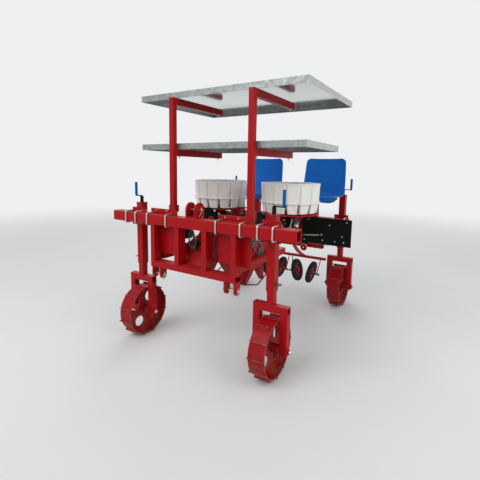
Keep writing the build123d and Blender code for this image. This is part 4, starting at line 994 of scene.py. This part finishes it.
# The front left fork stands lower by this
FORK_DROP = 7.394
for x in (-372, -128, 128, 372):
    bead_round(x, HITCH_BACK, 691, 20, 40)
    bead_round(x, HITCH_BACK, 974, 20, 40)
for x in (-HITCH_X, HITCH_X):
    for off in (-40, 40):
        bead_round(x + off, HITCH_BACK, 645, 7, 32)
for x in (-40, 40):
    bead_round(x, TOP_PIN_BACK, 1062, 6, 53)
for x in UNIT_X.values():
    bead_round(x, 108, 1127, 20, 20)
    bead_round(x - SEAT_POST_OFF, REAR_BAR_MID, 930, 30, 30)
for side in (-1, 1):
    bead_round(side * MAIN_BEAM_X, UNIT_BEAM_BACK, 805, 25, 25)
    bead_round(side * MAIN_BEAM_X, REAR_BAR_MID, 850, 25, 25)
    for back, drop in ((FRONT_LEG, FORK_DROP if side < 0 else 0), (REAR_LEG, 0)):
        bead_round(side * LEG_X, back, 520 - drop, 25, 25)
        for off in (-FORK_HALF, FORK_HALF):
            bead_round(side * LEG_X + off, back, 470 - drop, 25, 25)
welds.done(60)

# Floor, backdrop colour and soft studio light
BACKDROP = (0.86, 0.87, 0.88)
# metres from the middle between which the floor fades into the backdrop
FADE_START, FADE_END = 3.5, 11.0


def seen_directly(tree):
    """1 for rays of the camera and for mirrored or refracted ones: (node, output)."""
    path = tree.nodes.new("ShaderNodeLightPath")
    total = path.outputs["Is Camera Ray"]
    for ray in ("Is Glossy Ray", "Is Transmission Ray"):
        add = tree.nodes.new("ShaderNodeMath")
        add.operation = "MAXIMUM"
        tree.links.new(total, add.inputs[0])
        tree.links.new(path.outputs[ray], add.inputs[1])
        total = add.outputs[0]
    return total


floor_shader = Shader("floor", Roughness=0.9)
patches = floor_shader.noise(1.4, 4)
floor_shader.colour(
    floor_shader.mix((0.62, 0.615, 0.60), (0.58, 0.575, 0.565), (patches, "Fac"))
)
ft = floor_shader.tree
reach = floor_shader.new("ShaderNodeVectorMath", operation="LENGTH")
floor_shader.link(floor_shader.coords, "Object", reach, 0)
fade = floor_shader.new("ShaderNodeMapRange", interpolation_type="SMOOTHSTEP")
fade.inputs["From Min"].default_value = FADE_START
fade.inputs["From Max"].default_value = FADE_END
floor_shader.link(reach, "Value", fade, "Value")
share = floor_shader.new("ShaderNodeMath", operation="MULTIPLY")
ft.links.new(fade.outputs[0], share.inputs[0])
ft.links.new(seen_directly(ft), share.inputs[1])
far = floor_shader.new("ShaderNodeEmission")
far.inputs["Color"].default_value = (*BACKDROP, 1)
blend_far = floor_shader.new("ShaderNodeMixShader")
floor_shader.link(share, 0, blend_far, 0)
floor_shader.link(floor_shader.bsdf, "BSDF", blend_far, 1)
floor_shader.link(far, 0, blend_far, 2)
floor_shader.link(blend_far, 0, floor_shader.out, "Surface")
bpy.ops.mesh.primitive_plane_add(size=60, location=(0, 0, 0))
floor = bpy.context.object
floor.name = "floor"
floor.data.materials.append(floor_shader.mat)

world = bpy.data.worlds.new("world")
scene.world = world
world.use_nodes = True
wt = world.node_tree
wt.nodes.clear()
w_out = wt.nodes.new("ShaderNodeOutputWorld")
w_mix = wt.nodes.new("ShaderNodeMixShader")
w_light = wt.nodes.new("ShaderNodeBackground")
w_seen = wt.nodes.new("ShaderNodeBackground")
w_light.inputs["Color"].default_value = (0.93, 0.96, 1.0, 1)
w_light.inputs["Strength"].default_value = 0.75
w_seen.inputs["Color"].default_value = (*BACKDROP, 1)
w_seen.inputs["Strength"].default_value = 1.0
wt.links.new(seen_directly(wt), w_mix.inputs[0])
wt.links.new(w_light.outputs[0], w_mix.inputs[1])
wt.links.new(w_seen.outputs[0], w_mix.inputs[2])
wt.links.new(w_mix.outputs[0], w_out.inputs["Surface"])

# name, place, aim, size, watts
LAMPS = (
    ("key", (-1.5, -5.5, 5.5), (0, 0, 1.0), 4.5, 260.0),
    ("fill", (5.5, -1.0, 3.5), (0, 0, 0.9), 4.0, 120.0),
    ("back", (-2.5, 5.0, 4.5), (0, 0, 1.2), 4.0, 120.0),
)
for name, place, aim, size, watts in LAMPS:
    lamp = bpy.data.lights.new(name, "AREA")
    lamp.size = size
    lamp.energy = watts
    obj = bpy.data.objects.new(name, lamp)
    scene.collection.objects.link(obj)
    obj.location = place
    obj.rotation_euler = (Vector(aim) - Vector(place)).to_track_quat("-Z", "Y").to_euler()
